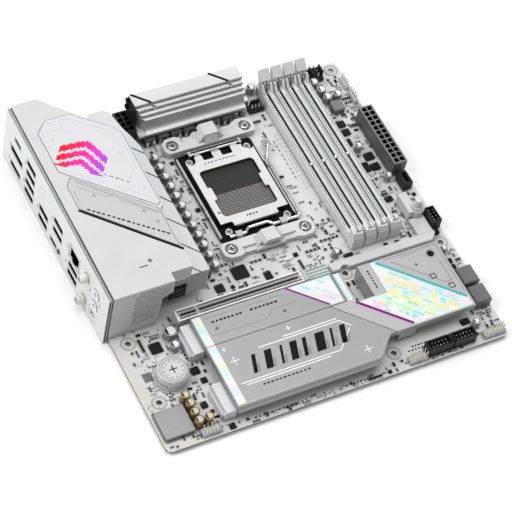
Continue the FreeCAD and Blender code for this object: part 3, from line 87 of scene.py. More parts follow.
class Finish:
    """A node material that is built up one effect at a time."""

    def __init__(self, name, colour, rough, metal=0.0):
        self.material = bpy.data.materials.new(name)
        self.material.use_nodes = True
        self.tree = self.material.node_tree
        self.shader = self.tree.nodes["Principled BSDF"]
        self.place = self.node("ShaderNodeTexCoord").outputs["Object"]
        base = self.node("ShaderNodeRGB")
        base.outputs[0].default_value = (*colour, 1.0)
        self.colour = base.outputs[0]
        self.rough = self.value(rough)
        self.normal = None
        self.shader.inputs["Metallic"].default_value = metal

    def node(self, kind, **settings):
        made = self.tree.nodes.new(kind)
        for key, setting in settings.items():
            setattr(made, key, setting)
        return made

    def link(self, source, target):
        self.tree.links.new(source, target)

    def value(self, number):
        made = self.node("ShaderNodeValue")
        made.outputs[0].default_value = number
        return made.outputs[0]

    def maths(self, operation, a, b=None, clamp=False):
        made = self.node("ShaderNodeMath", operation=operation, use_clamp=clamp)
        for slot, given in zip(made.inputs, (a, b)):
            if given is None:
                continue
            if isinstance(given, (int, float)):
                slot.default_value = given
            else:
                self.link(given, slot)
        return made.outputs[0]

    def times(self, a, b):
        return self.maths("MULTIPLY", a, b)

    def axis(self, letter):
        split = self.node("ShaderNodeSeparateXYZ")
        self.link(self.place, split.inputs[0])
        return split.outputs[letter]

    def past(self, letter, place_mm):
        """One beyond a place on the board, nought before it."""
        return self.maths("GREATER_THAN", self.axis(letter), START[letter] + place_mm * MM)

    def before(self, letter, place_mm):
        return self.maths("LESS_THAN", self.axis(letter), START[letter] + place_mm * MM)

    def upward(self):
        """One on faces that look up, nought on walls."""
        split = self.node("ShaderNodeSeparateXYZ")
        self.link(self.node("ShaderNodeNewGeometry").outputs["Normal"], split.inputs[0])
        return self.maths("GREATER_THAN", split.outputs["Z"], 0.7)

    def stretched(self, stretch):
        scaled = self.node("ShaderNodeVectorMath", operation="MULTIPLY")
        self.link(self.place, scaled.inputs[0])
        scaled.inputs[1].default_value = stretch
        return scaled.outputs[0]

    def noise(self, size_mm, detail=3.0, stretch=(1, 1, 1)):
        made = self.node("ShaderNodeTexNoise")
        made.inputs["Scale"].default_value = 1 / (size_mm * MM)
        made.inputs["Detail"].default_value = detail
        self.link(self.stretched(stretch), made.inputs["Vector"])
        return made.outputs["Fac"]

    def cells(self, size_mm):
        made = self.node("ShaderNodeTexVoronoi", feature="F1")
        made.inputs["Scale"].default_value = 1 / (size_mm * MM)
        self.link(self.place, made.inputs["Vector"])
        return made.outputs["Distance"]

    def ramp(self, source, stops):
        made = self.node("ShaderNodeValToRGB")
        band = made.color_ramp
        while len(band.elements) < len(stops):
            band.elements.new(0.5)
        for element, (place, colour) in zip(band.elements, stops):
            element.position = place
            element.color = (*colour, 1.0)
        self.link(source, made.inputs[0])
        return made.outputs[0]

    def mix(self, share, colour, mode="MIX"):
        """Lays a colour, or another socket, over the colour so far."""
        made = self.node("ShaderNodeMix", data_type="RGBA", blend_type=mode)
        if isinstance(share, (int, float)):
            made.inputs[0].default_value = share
        else:
            self.link(share, made.inputs[0])
        self.link(self.colour, made.inputs[6])
        if isinstance(colour, tuple):
            made.inputs[7].default_value = (*colour, 1.0)
        else:
            self.link(colour, made.inputs[7])
        self.colour = made.outputs[2]
        return self

    def grain(self, source, low, high=1.0, start=0.3, end=0.7):
        """Multiplies the colour so far by greys from low to high."""
        return self.mix(1.0, self.ramp(source, [(start, grey(low)), (end, grey(high))]), "MULTIPLY")

    def mottle(self, amount, size_mm=14.0, stretch=(1, 1, 1)):
        """Slow light and dark patches."""
        return self.grain(self.noise(size_mm, 4.0, stretch), 1 - amount, 1.0, 0.25, 0.75)

    def uneven(self, amount, size_mm=4.0):
        """Roughness that wanders, as handling and casting leave it."""
        wander = self.maths("MULTIPLY", self.maths("SUBTRACT", self.noise(size_mm), 0.5), amount)
        self.rough = self.maths("ADD", self.rough, wander, clamp=True)
        return self

    def bump(self, source, depth_mm, strength):
        made = self.node("ShaderNodeBump")
        made.inputs["Strength"].default_value = strength
        made.inputs["Distance"].default_value = depth_mm * MM
        self.link(source, made.inputs["Height"])
        if self.normal is not None:
            self.link(self.normal, made.inputs["Normal"])
        self.normal = made.outputs["Normal"]
        return self

    def soft_edges(self, radius_mm):
        """Catches light along sharp edges, as a small moulded or machined radius does."""
        made = self.node("ShaderNodeBevel", samples=4)
        made.inputs["Radius"].default_value = radius_mm * MM
        self.normal = made.outputs["Normal"]
        return self

    def painted_crevice_shade(self, amount, reach_mm):
        """Paints shade into corners and gaps: darkens the colour where ambient occlusion finds nearby
        surfaces.
        """
        made = self.node("ShaderNodeAmbientOcclusion", samples=4)
        made.inputs["Distance"].default_value = reach_mm * MM
        shade = self.maths("SUBTRACT", 1.0, made.outputs["AO"])
        return self.mix(self.maths("MULTIPLY", shade, amount, clamp=True), grey(0.0))

    def glow(self, colour, strength):
        self.shader.inputs["Emission Color"].default_value = (*colour, 1.0)
        self.shader.inputs["Emission Strength"].default_value = strength
        return self

    def dull(self, level=0.15):
        """Weakens the surface reflection, for ink and matt black parts."""
        self.shader.inputs["Specular IOR Level"].default_value = level
        return self

    def coat(self, weight, rough):
        self.shader.inputs["Coat Weight"].default_value = weight
        self.shader.inputs["Coat Roughness"].default_value = rough
        return self

    def moulded(self):
        """Ends with the faint texture of a moulded or sprayed surface."""
        return self.bump(self.noise(0.18, 2.0), 0.008, 0.6).done()

    def done(self):
        self.link(self.colour, self.shader.inputs["Base Color"])
        self.link(self.rough, self.shader.inputs["Roughness"])
        if self.normal is not None:
            self.link(self.normal, self.shader.inputs["Normal"])
        return self.material


def plastic(name, colour, rough, edge, speckle=0.05):
    """Moulded plastic with a spark-eroded grain."""
    finish = Finish(name, colour, rough).soft_edges(edge)
    if colour[0] < 0.05:
        finish.dull()
    finish.mottle(0.05).uneven(0.12)
    finish.grain(finish.noise(0.25, 2.0), 1 - speckle)
    # painted shade in corners and gaps
    finish.painted_crevice_shade(0.55, 1.6)
    return finish.bump(finish.noise(0.18, 2.0), 0.012, 0.6).done()


def metal(name, colour, rough, brush, edge, shade):
    """Plated or bare metal; brush stretches the grain along one axis."""
    finish = Finish(name, colour, rough, 1.0).soft_edges(edge)
    stretch = brush or (1, 1, 1)
    finish.mottle(0.04, 9.0, stretch)
    finish.uneven(0.10, 1.2)
    finish.grain(finish.noise(0.3, 4.0, stretch), 0.94)
    # painted shade in corners and gaps
    finish.painted_crevice_shade(shade, 2.0)
    return finish.bump(finish.noise(0.2, 3.0, stretch), 0.003, 0.5).done()


def frame_steel():
    """Socket frame: near-black below 3.4 mm, bright stamped rails above."""
    finish = Finish("frame_steel", grey(0.62), 0.30, 0.85).soft_edges(0.15).dull()
    finish.mottle(0.06, 8.0, (1, 6, 1))
    finish.mix(finish.before("Z", 3.4), grey(0.012))
    # painted shade in corners and gaps
    finish.painted_crevice_shade(0.85, 2.0)
    return finish.bump(finish.noise(0.2, 3.0), 0.003, 0.5).done()


def blasted(name, colour, rough, metallic):
    """Bead-blasted, clear anodised aluminium."""
    finish = Finish(name, colour, rough, metallic).soft_edges(0.25)
    finish.mottle(0.05, 30.0)
    finish.grain(finish.cells(0.35), 0.93, 1.0, 0.0, 0.6)
    finish.uneven(0.10, 2.0)
    # painted shade in corners and gaps
    finish.painted_crevice_shade(0.5, 2.2)
    return finish.bump(finish.noise(0.12, 2.0), 0.012, 0.6).done()


def solder_mask():
    """White solder mask: tracks show through as faint ridges; the cut edge is painted near-black as painted
    shade along the board's edge, and the underside is a paler grey.
    """
    finish = Finish("board_mask", grey(0.62), 0.38)
    finish.mottle(0.04, 22.0)
    finish.grain(finish.noise(0.35, 3.0), 0.95, 1.0, 0.35, 0.65)
    weave = finish.node("ShaderNodeTexWave", wave_type="BANDS", bands_direction="DIAGONAL")
    for key, setting in (("Scale", 420.0), ("Distortion", 3.0), ("Detail", 2.0), ("Detail Scale", 0.6)):
        weave.inputs[key].default_value = setting
    finish.link(finish.place, weave.inputs["Vector"])
    finish.grain(weave.outputs["Fac"], 0.955, 1.0, 0.35, 0.6)
    # painted shade in corners and gaps
    finish.painted_crevice_shade(0.75, 2.5)
    # painted shade: the board's cut edge below the mask, near-black
    finish.mix(finish.before("Z", 1.45), grey(0.05))
    finish.mix(finish.before("Z", 0.02), (0.70, 0.70, 0.71))
    finish.bump(weave.outputs["Fac"], 0.03, 0.35)
    return finish.coat(0.25, 0.2).done()


def pearl():
    """Pearl film: white that shifts through pastel green, yellow, cyan and pink with place, and a pale blue
    painted sheen that grows towards grazing angles.
    """
    finish = Finish("pearl_film", (0.74, 0.78, 0.76), 0.24)
    sway = finish.noise(26.0, 2.0)
    slope = finish.maths("ADD", finish.axis("X"), finish.times(finish.axis("Y"), 1.35))
    phase = finish.maths("ADD", finish.times(slope, 22.0), finish.times(sway, 1.2))
    rainbow = finish.ramp(finish.maths("FRACT", phase), [
        (0.0, (0.76, 0.80, 0.80)), (0.18, (0.36, 0.76, 0.62)), (0.34, (0.76, 0.78, 0.36)),
        (0.5, (0.80, 0.82, 0.80)), (0.66, (0.38, 0.72, 0.82)), (0.82, (0.80, 0.62, 0.72)),
        (1.0, (0.76, 0.80, 0.80))])
    finish.mix(0.5, rainbow)
    # painted sheen: pale blue mixed in where the film is seen at a grazing angle
    facing = finish.node("ShaderNodeLayerWeight")
    facing.inputs["Blend"].default_value = 0.35
    finish.mix(finish.times(facing.outputs["Facing"], 0.35), (0.80, 0.86, 1.0))
    # painted shade in corners and gaps
    finish.painted_crevice_shade(0.4, 1.0)
    finish.bump(finish.noise(0.2, 2.0), 0.006, 0.4)
    return finish.coat(1.0, 0.08).done()


def choke_finish():
    finish = Finish("choke_powder", grey(0.07), 0.6).soft_edges(0.25).dull()
    finish.grain(finish.noise(0.3, 5.0), 0.6, 1.25)
    # painted shade in corners and gaps
    finish.painted_crevice_shade(0.6, 1.5)
    return finish.bump(finish.noise(0.25, 4.0), 0.04, 0.8).done()


def chip_epoxy():
    """Matt black packages; the power coil in the front corner is pale grey."""
    finish = Finish("chip_epoxy", grey(0.010), 0.55).soft_edges(0.06).dull(0.12)
    coil = finish.times(finish.times(finish.past("X", 220.4), finish.before("Y", 211.5)),
                        finish.times(finish.past("Y", 199.0), finish.past("Z", 2.9)))
    finish.mix(coil, grey(0.20))
    finish.grain(finish.noise(0.25, 2.0), 0.8)
    return finish.bump(finish.noise(0.18, 2.0), 0.008, 0.5).done()


def painted_top_light(name, top, wall, rough, metallic):
    """Faces that look up are painted lighter and the walls darker, as light falls from above, with painted
    shade in the walls and gaps.
    """
    finish = Finish(name, wall, rough, metallic).soft_edges(0.15)
    # painted light: the top colour on upward faces, the darker wall colour elsewhere
    finish.mix(finish.upward(), top)
    finish.mottle(0.05, 18.0)
    # painted shade in corners and gaps
    finish.painted_crevice_shade(0.85, 2.2)
    return finish.moulded()


def sink_finish():
    """Blasted aluminium with upward faces painted lighter than the walls, as lit from above; the upper
    heatsink's flat top is a deeper grey than its ledges.
    """
    finish = Finish("sink_silver", grey(0.44), 0.42, 0.6).soft_edges(0.2)
    up = finish.upward()
    right = finish.past("X", 76)
    # painted light: upward faces lighter than the walls
    finish.mix(up, grey(0.58))
    finish.mix(finish.times(right, finish.times(up, finish.past("Z", 17))), grey(0.92))
    finish.mix(finish.times(right, finish.past("Z", part_box("top_vrm_heatsink")[5] - 0.6)), grey(0.58))
    finish.mottle(0.05, 18.0)
    # painted shade in corners and gaps
    finish.painted_crevice_shade(0.5, 2.0)
    return finish.moulded()


def slot_finish():
    """Memory slot plastic: rails and other upward faces below the end cheeks painted brighter as lit from
    above, greyer walls and end cheeks, and painted shade in the gaps.
    """
    finish = Finish("slot_white", grey(0.68), 0.5).soft_edges(0.15)
    # painted light: upward faces below 11.2 mm lighter
    finish.mix(finish.times(finish.upward(), finish.before("Z", 11.2)), grey(0.80))
    finish.mottle(0.05, 18.0)
    # painted shade in corners and gaps
    finish.painted_crevice_shade(0.8, 1.6)
    return finish.moulded()


def power_socket():
    """Grey main socket whose upward faces are painted lighter, as lit from above, and whose wells are
    painted black as shade; the small processor socket is black.
    """
    finish = Finish("connector_dark", grey(0.09), 0.42).soft_edges(0.15).dull(0.3)
    # painted light: upward faces lighter than the sides
    finish.mix(finish.upward(), grey(0.20))
    finish.mix(finish.before("X", 120), grey(0.015))
    finish.mottle(0.05, 18.0)
    # painted shade in corners and gaps
    finish.painted_crevice_shade(0.9, 5.0)
    return finish.moulded()


def port_finish():
    """Nickel at the mouth of each port; behind it the shell is painted black, painted shade deep in the
    port.
    """
    finish = Finish("port_nickel", grey(0.55), 0.3, 0.9).soft_edges(0.1)
    finish.mottle(0.08, 3.0)
    mouth = part_box("io_shield")[0] + 0.3
    depth = finish.maths("SUBTRACT", finish.axis("X"), board_low.x + mouth * MM)
    inside = finish.maths("MULTIPLY", depth, 1 / (0.3 * MM), clamp=True)
    # painted shade: the shell past its mouth darkened to near-black
    finish.mix(inside, grey(0.004))
    # painted shade in corners and gaps
    finish.painted_crevice_shade(0.6, 2.0)
    return finish.bump(finish.noise(0.2), 0.01, 0.4).done()


def contact_field():
    """Woven look of the socket's spring contacts; the far half leans away and is painted darker, the near
    half brighter, as the springs catch the light.
    """
    finish = Finish("socket_springs", grey(0.02), 0.5, 0.3).dull()
    _, _, y0, y1, _, _ = part_box("socket_contacts")
    pitch = 1.9
    turn = 2 * math.pi / (pitch * MM)
    across, along = (finish.maths("SINE", finish.times(finish.axis(letter), turn)) for letter in "XY")
    weave = finish.times(finish.maths("ADD", across, 1.0), finish.maths("ADD", along, 1.0))
    spark = finish.maths("ADD", finish.times(weave, 0.20), 0.16)
    near = finish.before("Y", (y0 + y1) / 2)
    # painted light: the near half's springs brighter, the far half's darker
    painted_light_gain = finish.maths("ADD", finish.times(near, 0.50), 0.07)
    finish.mix(finish.maths("MULTIPLY", spark, painted_light_gain, clamp=True), (0.64, 0.62, 0.58))
    finish.bump(weave, 0.12, 0.6)
    return finish.done()


def lamp_lid():
    """Milky clear lid; light from the lamps below leaves it faintly bright."""
    finish = Finish("lid_milk", (0.64, 0.64, 0.66), 0.16).soft_edges(0.3)
    finish.mottle(0.03, 18.0)
    # painted shade in corners and gaps
    finish.painted_crevice_shade(0.35, 1.2)
    finish.bump(finish.noise(1.6, 2.0), 0.02, 0.3)
    return finish.coat(1.0, 0.05).done()


def clear_latch():
    finish = Finish("latch_clear", (0.78, 0.86, 0.83), 0.18).soft_edges(0.3)
    finish.mottle(0.06, 5.0)
    finish.shader.inputs["Transmission Weight"].default_value = 0.45
    finish.shader.inputs["IOR"].default_value = 1.45
    finish.bump(finish.noise(0.8), 0.02, 0.4)
    return finish.done()


# slot: shade, roughness, edge radius in mm, share of speckle
PLASTICS = {
    "cover_white": (0.57, 0.42, 0.4, 0.03), "shield_white": (0.70, 0.45, 0.2, 0.03),
    "port_white": (0.78, 0.3, 0.2), "button_dark": (0.05, 0.35, 0.15),
    "bracket_white": (0.60, 0.36, 0.5, 0.02), "latch_white": (0.62, 0.40, 0.2),
    "slot_grey": (0.40, 0.42, 0.15), "button_white": (0.64, 0.25, 0.4, 0.02),
    "latch_plastic": (0.10, 0.4, 0.2), "connector_grey": (0.13, 0.42, 0.15),
    "header_black": (0.02, 0.42, 0.12), "holder_white": (0.60, 0.3, 0.3),
}
# slot: shade, roughness, brushing, edge radius in mm, depth of painted shade in corners
METALS = {
    "steel_plate": (0.74, 0.36, (6, 1, 1), 0.25, 0.6), "steel_wire": (0.74, 0.22, None, 0.1, 0.5),
    "screw_steel": (0.78, 0.2, None, 0.15, 0.8), "steel_dark": (0.10, 0.5, None, 0.2, 0.5),
    "shell_steel": (0.92, 0.3, (1, 8, 8), 0.2, 0.6), "cell_steel": (0.78, 0.2, None, 0.15, 0.6),
    "shield_can": (0.30, 0.5, (1, 8, 1), 0.2, 0.5), "screw_dark": (0.32, 0.3, None, 0.1, 0.8),
}


def make_finishes():
    """One material for each slot of the record; a node's own name overrides its slot."""
    made = {slot: plastic(slot, grey(shade), *rest) for slot, (shade, *rest) in PLASTICS.items()}
    made.update({slot: metal(slot, grey(shade), *rest) for slot, (shade, *rest) in METALS.items()})
    made.update({
        "board": solder_mask(),
        "lamp_panel": lamp_lid(),
        "trim_white": blasted("trim_silver", grey(0.52), 0.38, 0.35),
        "port_metal": port_finish(),
        "antenna_gold": plastic("antenna_cream", (0.70, 0.69, 0.66), 0.35, 0.15),
        "sink_silver": sink_finish(),
        "sink_grey": blasted("sink_grey", grey(0.345), 0.44, 0.6),
        "pad_grey": plastic("pad_grey", (0.42, 0.43, 0.46), 0.8, 0.2),
        "choke_dark": choke_finish(),
        "chip_black": chip_epoxy(),
        # painted light: can tops lighter and can walls darker, as light falls from above
        "can_metal": painted_top_light("can_aluminium", grey(0.74), grey(0.24), 0.45, 0.2),
        "can_gold": painted_top_light("can_gold", (0.50, 0.44, 0.30), (0.30, 0.21, 0.07), 0.36, 0.5),
        "socket_plastic": plastic("socket_black", grey(0.03), 0.45, 0.15),
        "contact_gold": contact_field(),
        "steel_bright": frame_steel(),
        "slot_white": slot_finish(),
        "latch_clear": clear_latch(),
        "panel_rainbow": pearl(),
        "connector_white": plastic("connector_white", (0.66, 0.66, 0.68), 0.36, 0.2),
        "connector_dark": power_socket(),
        "pin_gold": metal("pin_nickel", (0.80, 0.76, 0.66), 0.2, None, 0.05, 0.5),
        "chipset_heatsink": blasted("chipset_grey", grey(0.45), 0.44, 0.6),
    })
    return made


def dress(finishes):
    """Gives each CAD node its own material, or its slot's."""
    for entry in frame["record"]["subparts"]:
        node = nodes[entry["node"]]
        node.data.materials.clear()
        node.data.materials.append(finishes.get(entry["node"]) or finishes[entry["material_slot"]])


# ------------------------------------------------------------------ small solids

def at(x, y, z):
    """Board millimetres to metres."""
    return (board_low.x + x * MM, board_low.y + y * MM, z * MM)


def around(x, y, radius, count):
    """Points evenly spaced on a circle."""
    turns = [2 * math.pi * i / count for i in range(count)]
    return [(x + radius * math.cos(turn), y + radius * math.sin(turn)) for turn in turns]


class Heap:
    """Gathers small closed solids, given in board millimetres, into one piece."""

    def __init__(self, name, finishes):
        self.name = name
        self.finishes = finishes
        self.points = []
        self.faces = []
        self.marks = []

    def solid(self, points, faces, mark):
        start = len(self.points)
        self.points += [at(*p) for p in points]
        self.faces += [tuple(start + i for i in face) for face in faces]
        self.marks += [mark] * len(faces)

    def rings(self, loops, mark):
        """A closed solid through a stack of equal loops, lowest first."""
        count = len(loops[0])
        points = [p for loop in loops for p in loop]
        faces = [tuple(reversed(range(count)))]
        for level in range(len(loops) - 1):
            base = level * count
            for i in range(count):
                j = (i + 1) % count
                faces.append((base + i, base + j, base + count + j, base + count + i))
        faces.append(tuple(range(len(points) - count, len(points))))
        self.solid(points, faces, mark)

    def slab(self, outline, z0, z1, mark):
        self.rings([[(x, y, z) for x, y in outline] for z in (z0, z1)], mark)

    def block(self, x0, x1, y0, y1, z0, z1, mark, edge=0.0):
        """A box whose top edges are cut back by edge."""
        loops = [[(x0, y0, z0), (x1, y0, z0), (x1, y1, z0), (x0, y1, z0)]]
        if edge:
            loops.append([(x, y, z1 - edge) for x, y, _ in loops[0]])
        loops.append([(x0 + edge, y0 + edge, z1), (x1 - edge, y0 + edge, z1),
                      (x1 - edge, y1 - edge, z1), (x0 + edge, y1 - edge, z1)])
        self.rings(loops, mark)

    def bar(self, along_x, a0, a1, b0, b1, *rest):
        """A block whose first pair of limits is along x, or else along y."""
        self.block(*((a0, a1, b0, b1) if along_x else (b0, b1, a0, a1)), *rest)

    def plank(self, profile, x0, x1, mark):
        """A profile of (y, z) points drawn out along x."""
        self.rings([[(x, y, z) for y, z in profile] for x in (x0, x1)], mark)

    def turned(self, x, y, profile, mark, sides):
        """A round solid from (radius, height) pairs, lowest first."""
        self.rings([[(a, b, z) for a, b in around(x, y, radius, sides)] for radius, z in profile], mark)

    def washer(self, x, y, inner, outer, z0, z1, mark, sides=32):
        """A flat ring."""
        corners = [(inner, z0), (outer, z0), (outer, z1), (inner, z1)]
        points = []
        faces = []
        for i in range(sides):
            angle = 2 * math.pi * i / sides
            points += [(x + reach * math.cos(angle), y + reach * math.sin(angle), z) for reach, z in corners]
            after = (i + 1) % sides
            for k in range(4):
                m = (k + 1) % 4
                faces.append((i * 4 + k, after * 4 + k, after * 4 + m, i * 4 + m))
        self.solid(points, faces, mark)

    def ribbon(self, path, width, z0, z1, mark):
        """A flat track along a path, mitred at its bends."""
        left = []
        right = []
        for i, (x, y) in enumerate(path):
            before = path[max(i - 1, 0)]
            after = path[min(i + 1, len(path) - 1)]
            ins = Vector((x - before[0], y - before[1]))
            outs = Vector((after[0] - x, after[1] - y))
            ins = ins.normalized() if ins.length else outs.normalized()
            outs = outs.normalized() if outs.length else ins
            mid = (ins + outs).normalized()
            reach = width / 2 / max(mid.dot(ins), 0.3)
            left.append((x - mid.y * reach, y + mid.x * reach))
            right.append((x + mid.y * reach, y - mid.x * reach))
        for i in range(len(path) - 1):
            self.slab([right[i], right[i + 1], left[i + 1], left[i]], z0, z1, mark)

    def line(self, path, width, level, mark):
        """A printed line on a face at this level."""
        self.ribbon(path, width, level - FILM, level + FILM, mark)

    def plus(self, x, y, reach, width, z0, z1, mark):
        half = width / 2
        corner = [(-half, -reach), (half, -reach), (half, -half)]
        outline = []
        for _ in range(4):
            outline += [(x + a, y + b) for a, b in corner]
            corner = [(-b, a) for a, b in corner]
        self.slab(outline, z0, z1, mark)

    def crosses(self, places, reach, width, level, mark):
        """Printed plus marks on a face at this level."""
        for x, y in places:
            self.plus(x, y, reach, width, level - FILM, level + FILM, mark)

    def made(self, body):
        mesh = bpy.data.meshes.new(self.name)
        mesh.from_pydata(self.points, [], self.faces)
        for finish in self.finishes:
            mesh.materials.append(finish)
        mesh.polygons.foreach_set("material_index", self.marks)
        piece = bpy.data.objects.new(self.name, mesh)
        bpy.context.scene.collection.objects.link(piece)
        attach(piece, body)


def solids_of(name):
    """Boxes of a node's separate solids, in board millimetres: x0, x1, y0, y1, z0, z1."""
    mesh = nodes[name].data
    world = nodes[name].matrix_world
    spots = [world @ v.co for v in mesh.vertices]
    keys = {}
    parent = list(range(len(spots)))

    def root(i):
        while parent[i] != i:
            parent[i] = parent[parent[i]]
            i = parent[i]
        return i

    for i, spot in enumerate(spots):
        key = tuple(round(c * 1e6) for c in spot)
        parent[i] = root(keys.setdefault(key, i))
    for face in mesh.polygons:
        first = root(face.vertices[0])
        for i in face.vertices[1:]:
            parent[root(i)] = first
    groups = {}
    for i, spot in enumerate(spots):
        groups.setdefault(root(i), []).append(spot)
    boxes = []
    for group in groups.values():
        xs = [(p.x - board_low.x) / MM for p in group]
        ys = [(p.y - board_low.y) / MM for p in group]
        zs = [p.z / MM for p in group]
        boxes.append((min(xs), max(xs), min(ys), max(ys), min(zs), max(zs)))
    return sorted(boxes)


# ------------------------------------------------------------------ free places

class Ground:
    """Knows where the bare board can be seen from above, and what has been put there."""

    CELL = 0.5

    def __init__(self):
        self.graph = bpy.context.evaluated_depsgraph_get()
        self.seen = {}
        self.taken = set()

    def bare(self, i, j):
        key = (i, j)
        if key not in self.seen:
            spot = Vector(at((i + 0.5) * self.CELL, (j + 0.5) * self.CELL, 90.0))
            hit, _, _, _, thing, _ = bpy.context.scene.ray_cast(self.graph, spot, Vector((0, 0, -1)))
            self.seen[key] = bool(hit and thing.name == nodes["pcb"].name)
        return self.seen[key]

    def cells(self, x0, x1, y0, y1):
        for i in range(math.floor(x0 / self.CELL), math.ceil(x1 / self.CELL)):
            for j in range(math.floor(y0 / self.CELL), math.ceil(y1 / self.CELL)):
                yield i, j

    def free(self, x0, x1, y0, y1):
        return all(cell not in self.taken and self.bare(*cell) for cell in self.cells(x0, x1, y0, y1))

    def take(self, x0, x1, y0, y1):
        self.taken.update(self.cells(x0, x1, y0, y1))

    def claim(self, *place):
        """Takes a place if all of it is free."""
        found = self.free(*place)
        if found:
            self.take(*place)
        return found


# ------------------------------------------------------------------ chip parts

# marks of the chip part pieces
BLACK, SOLDER, GREY_BODY, WHITE_BODY = range(4)


def chip_part(heap, x, y, long, wide, high, lengthwise, body):
    """A two-ended chip part: a body between two soldered ends, on its pads."""
    a, b, da, db = (x, y, 0.15, 0.12) if lengthwise else (y, x, 0.12, 0.15)
    half, side = long / 2, wide / 2
    cap = long * 0.2
    heap.bar(lengthwise, a - half + cap, a + half - cap, b - side, b + side, TOP, TOP + high, body, 0.06)
    for a0, a1 in ((a - half, a - half + cap), (a + half - cap, a + half)):
        heap.bar(lengthwise, a0, a1, b - side, b + side, TOP, TOP + high + 0.02, SOLDER, 0.08)
        heap.bar(lengthwise, a0 - da, a1 + da, b - side - db, b + side + db, TOP, TOP + 0.09, SOLDER, 0.05)


def small_transistor(heap, x, y, lengthwise):
    """Three-legged transistor."""
    dx, dy = (1.45, 0.65) if lengthwise else (0.65, 1.45)
    heap.block(x - dx, x + dx, y - dy, y + dy, TOP + 0.1, TOP + 1.0, BLACK, 0.18)
    for along, side in ((-0.95, -1.0), (0.95, -1.0), (0.0, 1.0)):
        a, b = (along, side) if lengthwise else (side, along)
        heap.block(x + a - 0.22, x + a + 0.22, y + b - 0.28, y + b + 0.28, TOP, TOP + 0.22, SOLDER, 0.05)


def square_chip(heap, x, y, side):
    """Leadless square chip with pads round its foot and a dot at its first pad."""
    half = side / 2
    heap.block(x - half, x + half, y - half, y + half, TOP + 0.04, TOP + 0.85, BLACK, 0.08)
    pitch = 0.5
    count = int((side - 0.8) / pitch)
    for i in range(count):
        along = (i - (count - 1) / 2) * pitch
        for edge in (-half, half):
            for along_x, a, b in ((True, x, y), (False, y, x)):
                heap.bar(along_x, a + along - 0.13, a + along + 0.13, b + edge - 0.2, b + edge + 0.2,
                         TOP, TOP + 0.16, SOLDER)
    heap.turned(x - half + 0.6, y + half - 0.6, [(0.25, TOP + 0.84), (0.25, TOP + 0.87)], GREY_BODY, 10)


# length, width and height of the two-ended parts, and their bodies, each as often as it's drawn
CHIP_SIZES = ((1.0, 0.5, 0.4), (1.6, 0.8, 0.5), (1.6, 0.8, 0.5), (2.0, 1.25, 0.7), (2.4, 1.5, 0.8))
CHIP_BODIES = (BLACK,) * 5 + (GREY_BODY, WHITE_BODY)
# shares of the groups that are one square chip or one transistor
SQUARE_SHARE = 0.09
TRANSISTOR_SHARE = 0.11
# crowded areas of the board: x0, x1, y0, y1, how many groups, largest group
CROWDS = [
    (62, 180, 88, 128, 300, 6), (76, 106, 92, 240, 320, 6), (104, 156, 203, 242, 150, 5),
    (155, 181, 92, 242, 110, 6), (211, 240.5, 90, 241, 760, 7), (226, 240.5, 2, 92, 240, 5),
    (2, 50, 2, 88, 620, 6), (50, 232, 0.8, 8, 160, 7), (150, 170, 48, 80, 60, 5), (62, 230, 74, 92, 160, 6),
]


def fill_crowd(heap, dice, crowd):
    """Rows of equal parts, as a layout tool places them."""
    x0, x1, y0, y1, groups, most = crowd
    for _ in range(groups):
        x = round(dice.uniform(x0, x1) * 2) / 2
        y = round(dice.uniform(y0, y1) * 2) / 2
        pick = dice.random()
        lengthwise = dice.random() < 0.5
        along_x = dice.random() < 0.5
        count = dice.randint(1, most)
        if pick < SQUARE_SHARE:
            side = dice.choice((2.4, 3.0, 4.0))
            reach = side / 2 + 0.5
            if ground.claim(x - reach, x + reach, y - reach, y + reach):
                square_chip(heap, x, y, side)
            continue
        if pick < SQUARE_SHARE + TRANSISTOR_SHARE:
            reach = 1.7
            if ground.claim(x - reach, x + reach, y - reach, y + reach):
                small_transistor(heap, x, y, lengthwise)
            continue
        long, wide, high = dice.choice(CHIP_SIZES)
        body = dice.choice(CHIP_BODIES)
        dx, dy = (long / 2, wide / 2) if lengthwise else (wide / 2, long / 2)
        gap = 0.1
        step = 2 * (dx if along_x else dy) + 0.55
        for i in range(count):
            cx = x + i * step if along_x else x
            cy = y if along_x else y + i * step
            if not ground.claim(cx - dx - gap, cx + dx + gap, cy - dy - gap, cy + dy + gap):
                break
            chip_part(heap, cx, cy, long, wide, high, lengthwise, body)


def chip_parts(heap):
    """Rows and clusters of small parts wherever the bare board shows in the crowded areas."""
    dice = random.Random(7)
    # places of printed marks, which stay clear of parts
    for place in ((0, 6, 34, 88), (7, 15, 48, 58), (169, 180, 146, 204), (173, 223, 10.5, 15.5)):
        ground.take(*place)
    for crowd in CROWDS:
        fill_crowd(heap, dice, crowd)


def chip_leads(heap):
    """Leads on two or four sides of each flat chip, and a dot at its first pin."""
    pitch, long, half = 0.65, 0.75, 0.14
    for x0, x1, y0, y1, _, top in solids_of("ic_packages"):
        # the tall coil has no leads
        if top > 5.0:
            continue
        for along_x, a0, a1, b0, b1 in ((True, x0, x1, y0, y1), (False, y0, y1, x0, x1)):
            count = int((a1 - a0 - 0.6) / pitch)
            if count < 2:
                continue
            for i in range(count):
                mid = (a0 + a1) / 2 + (i - (count - 1) / 2) * pitch
                for low, high in ((b0 - long, b0), (b1, b1 + long)):
                    heap.bar(along_x, mid - half, mid + half, low, high, TOP, TOP + 0.2, SOLDER, 0.04)
        heap.turned(x0 + 0.8, y1 - 0.8, [(0.3, top - 0.02), (0.3, top + FILM)], GREY_BODY, 12)
        ground.take(x0 - 0.9, x1 + 0.9, y0 - 0.9, y1 + 0.9)


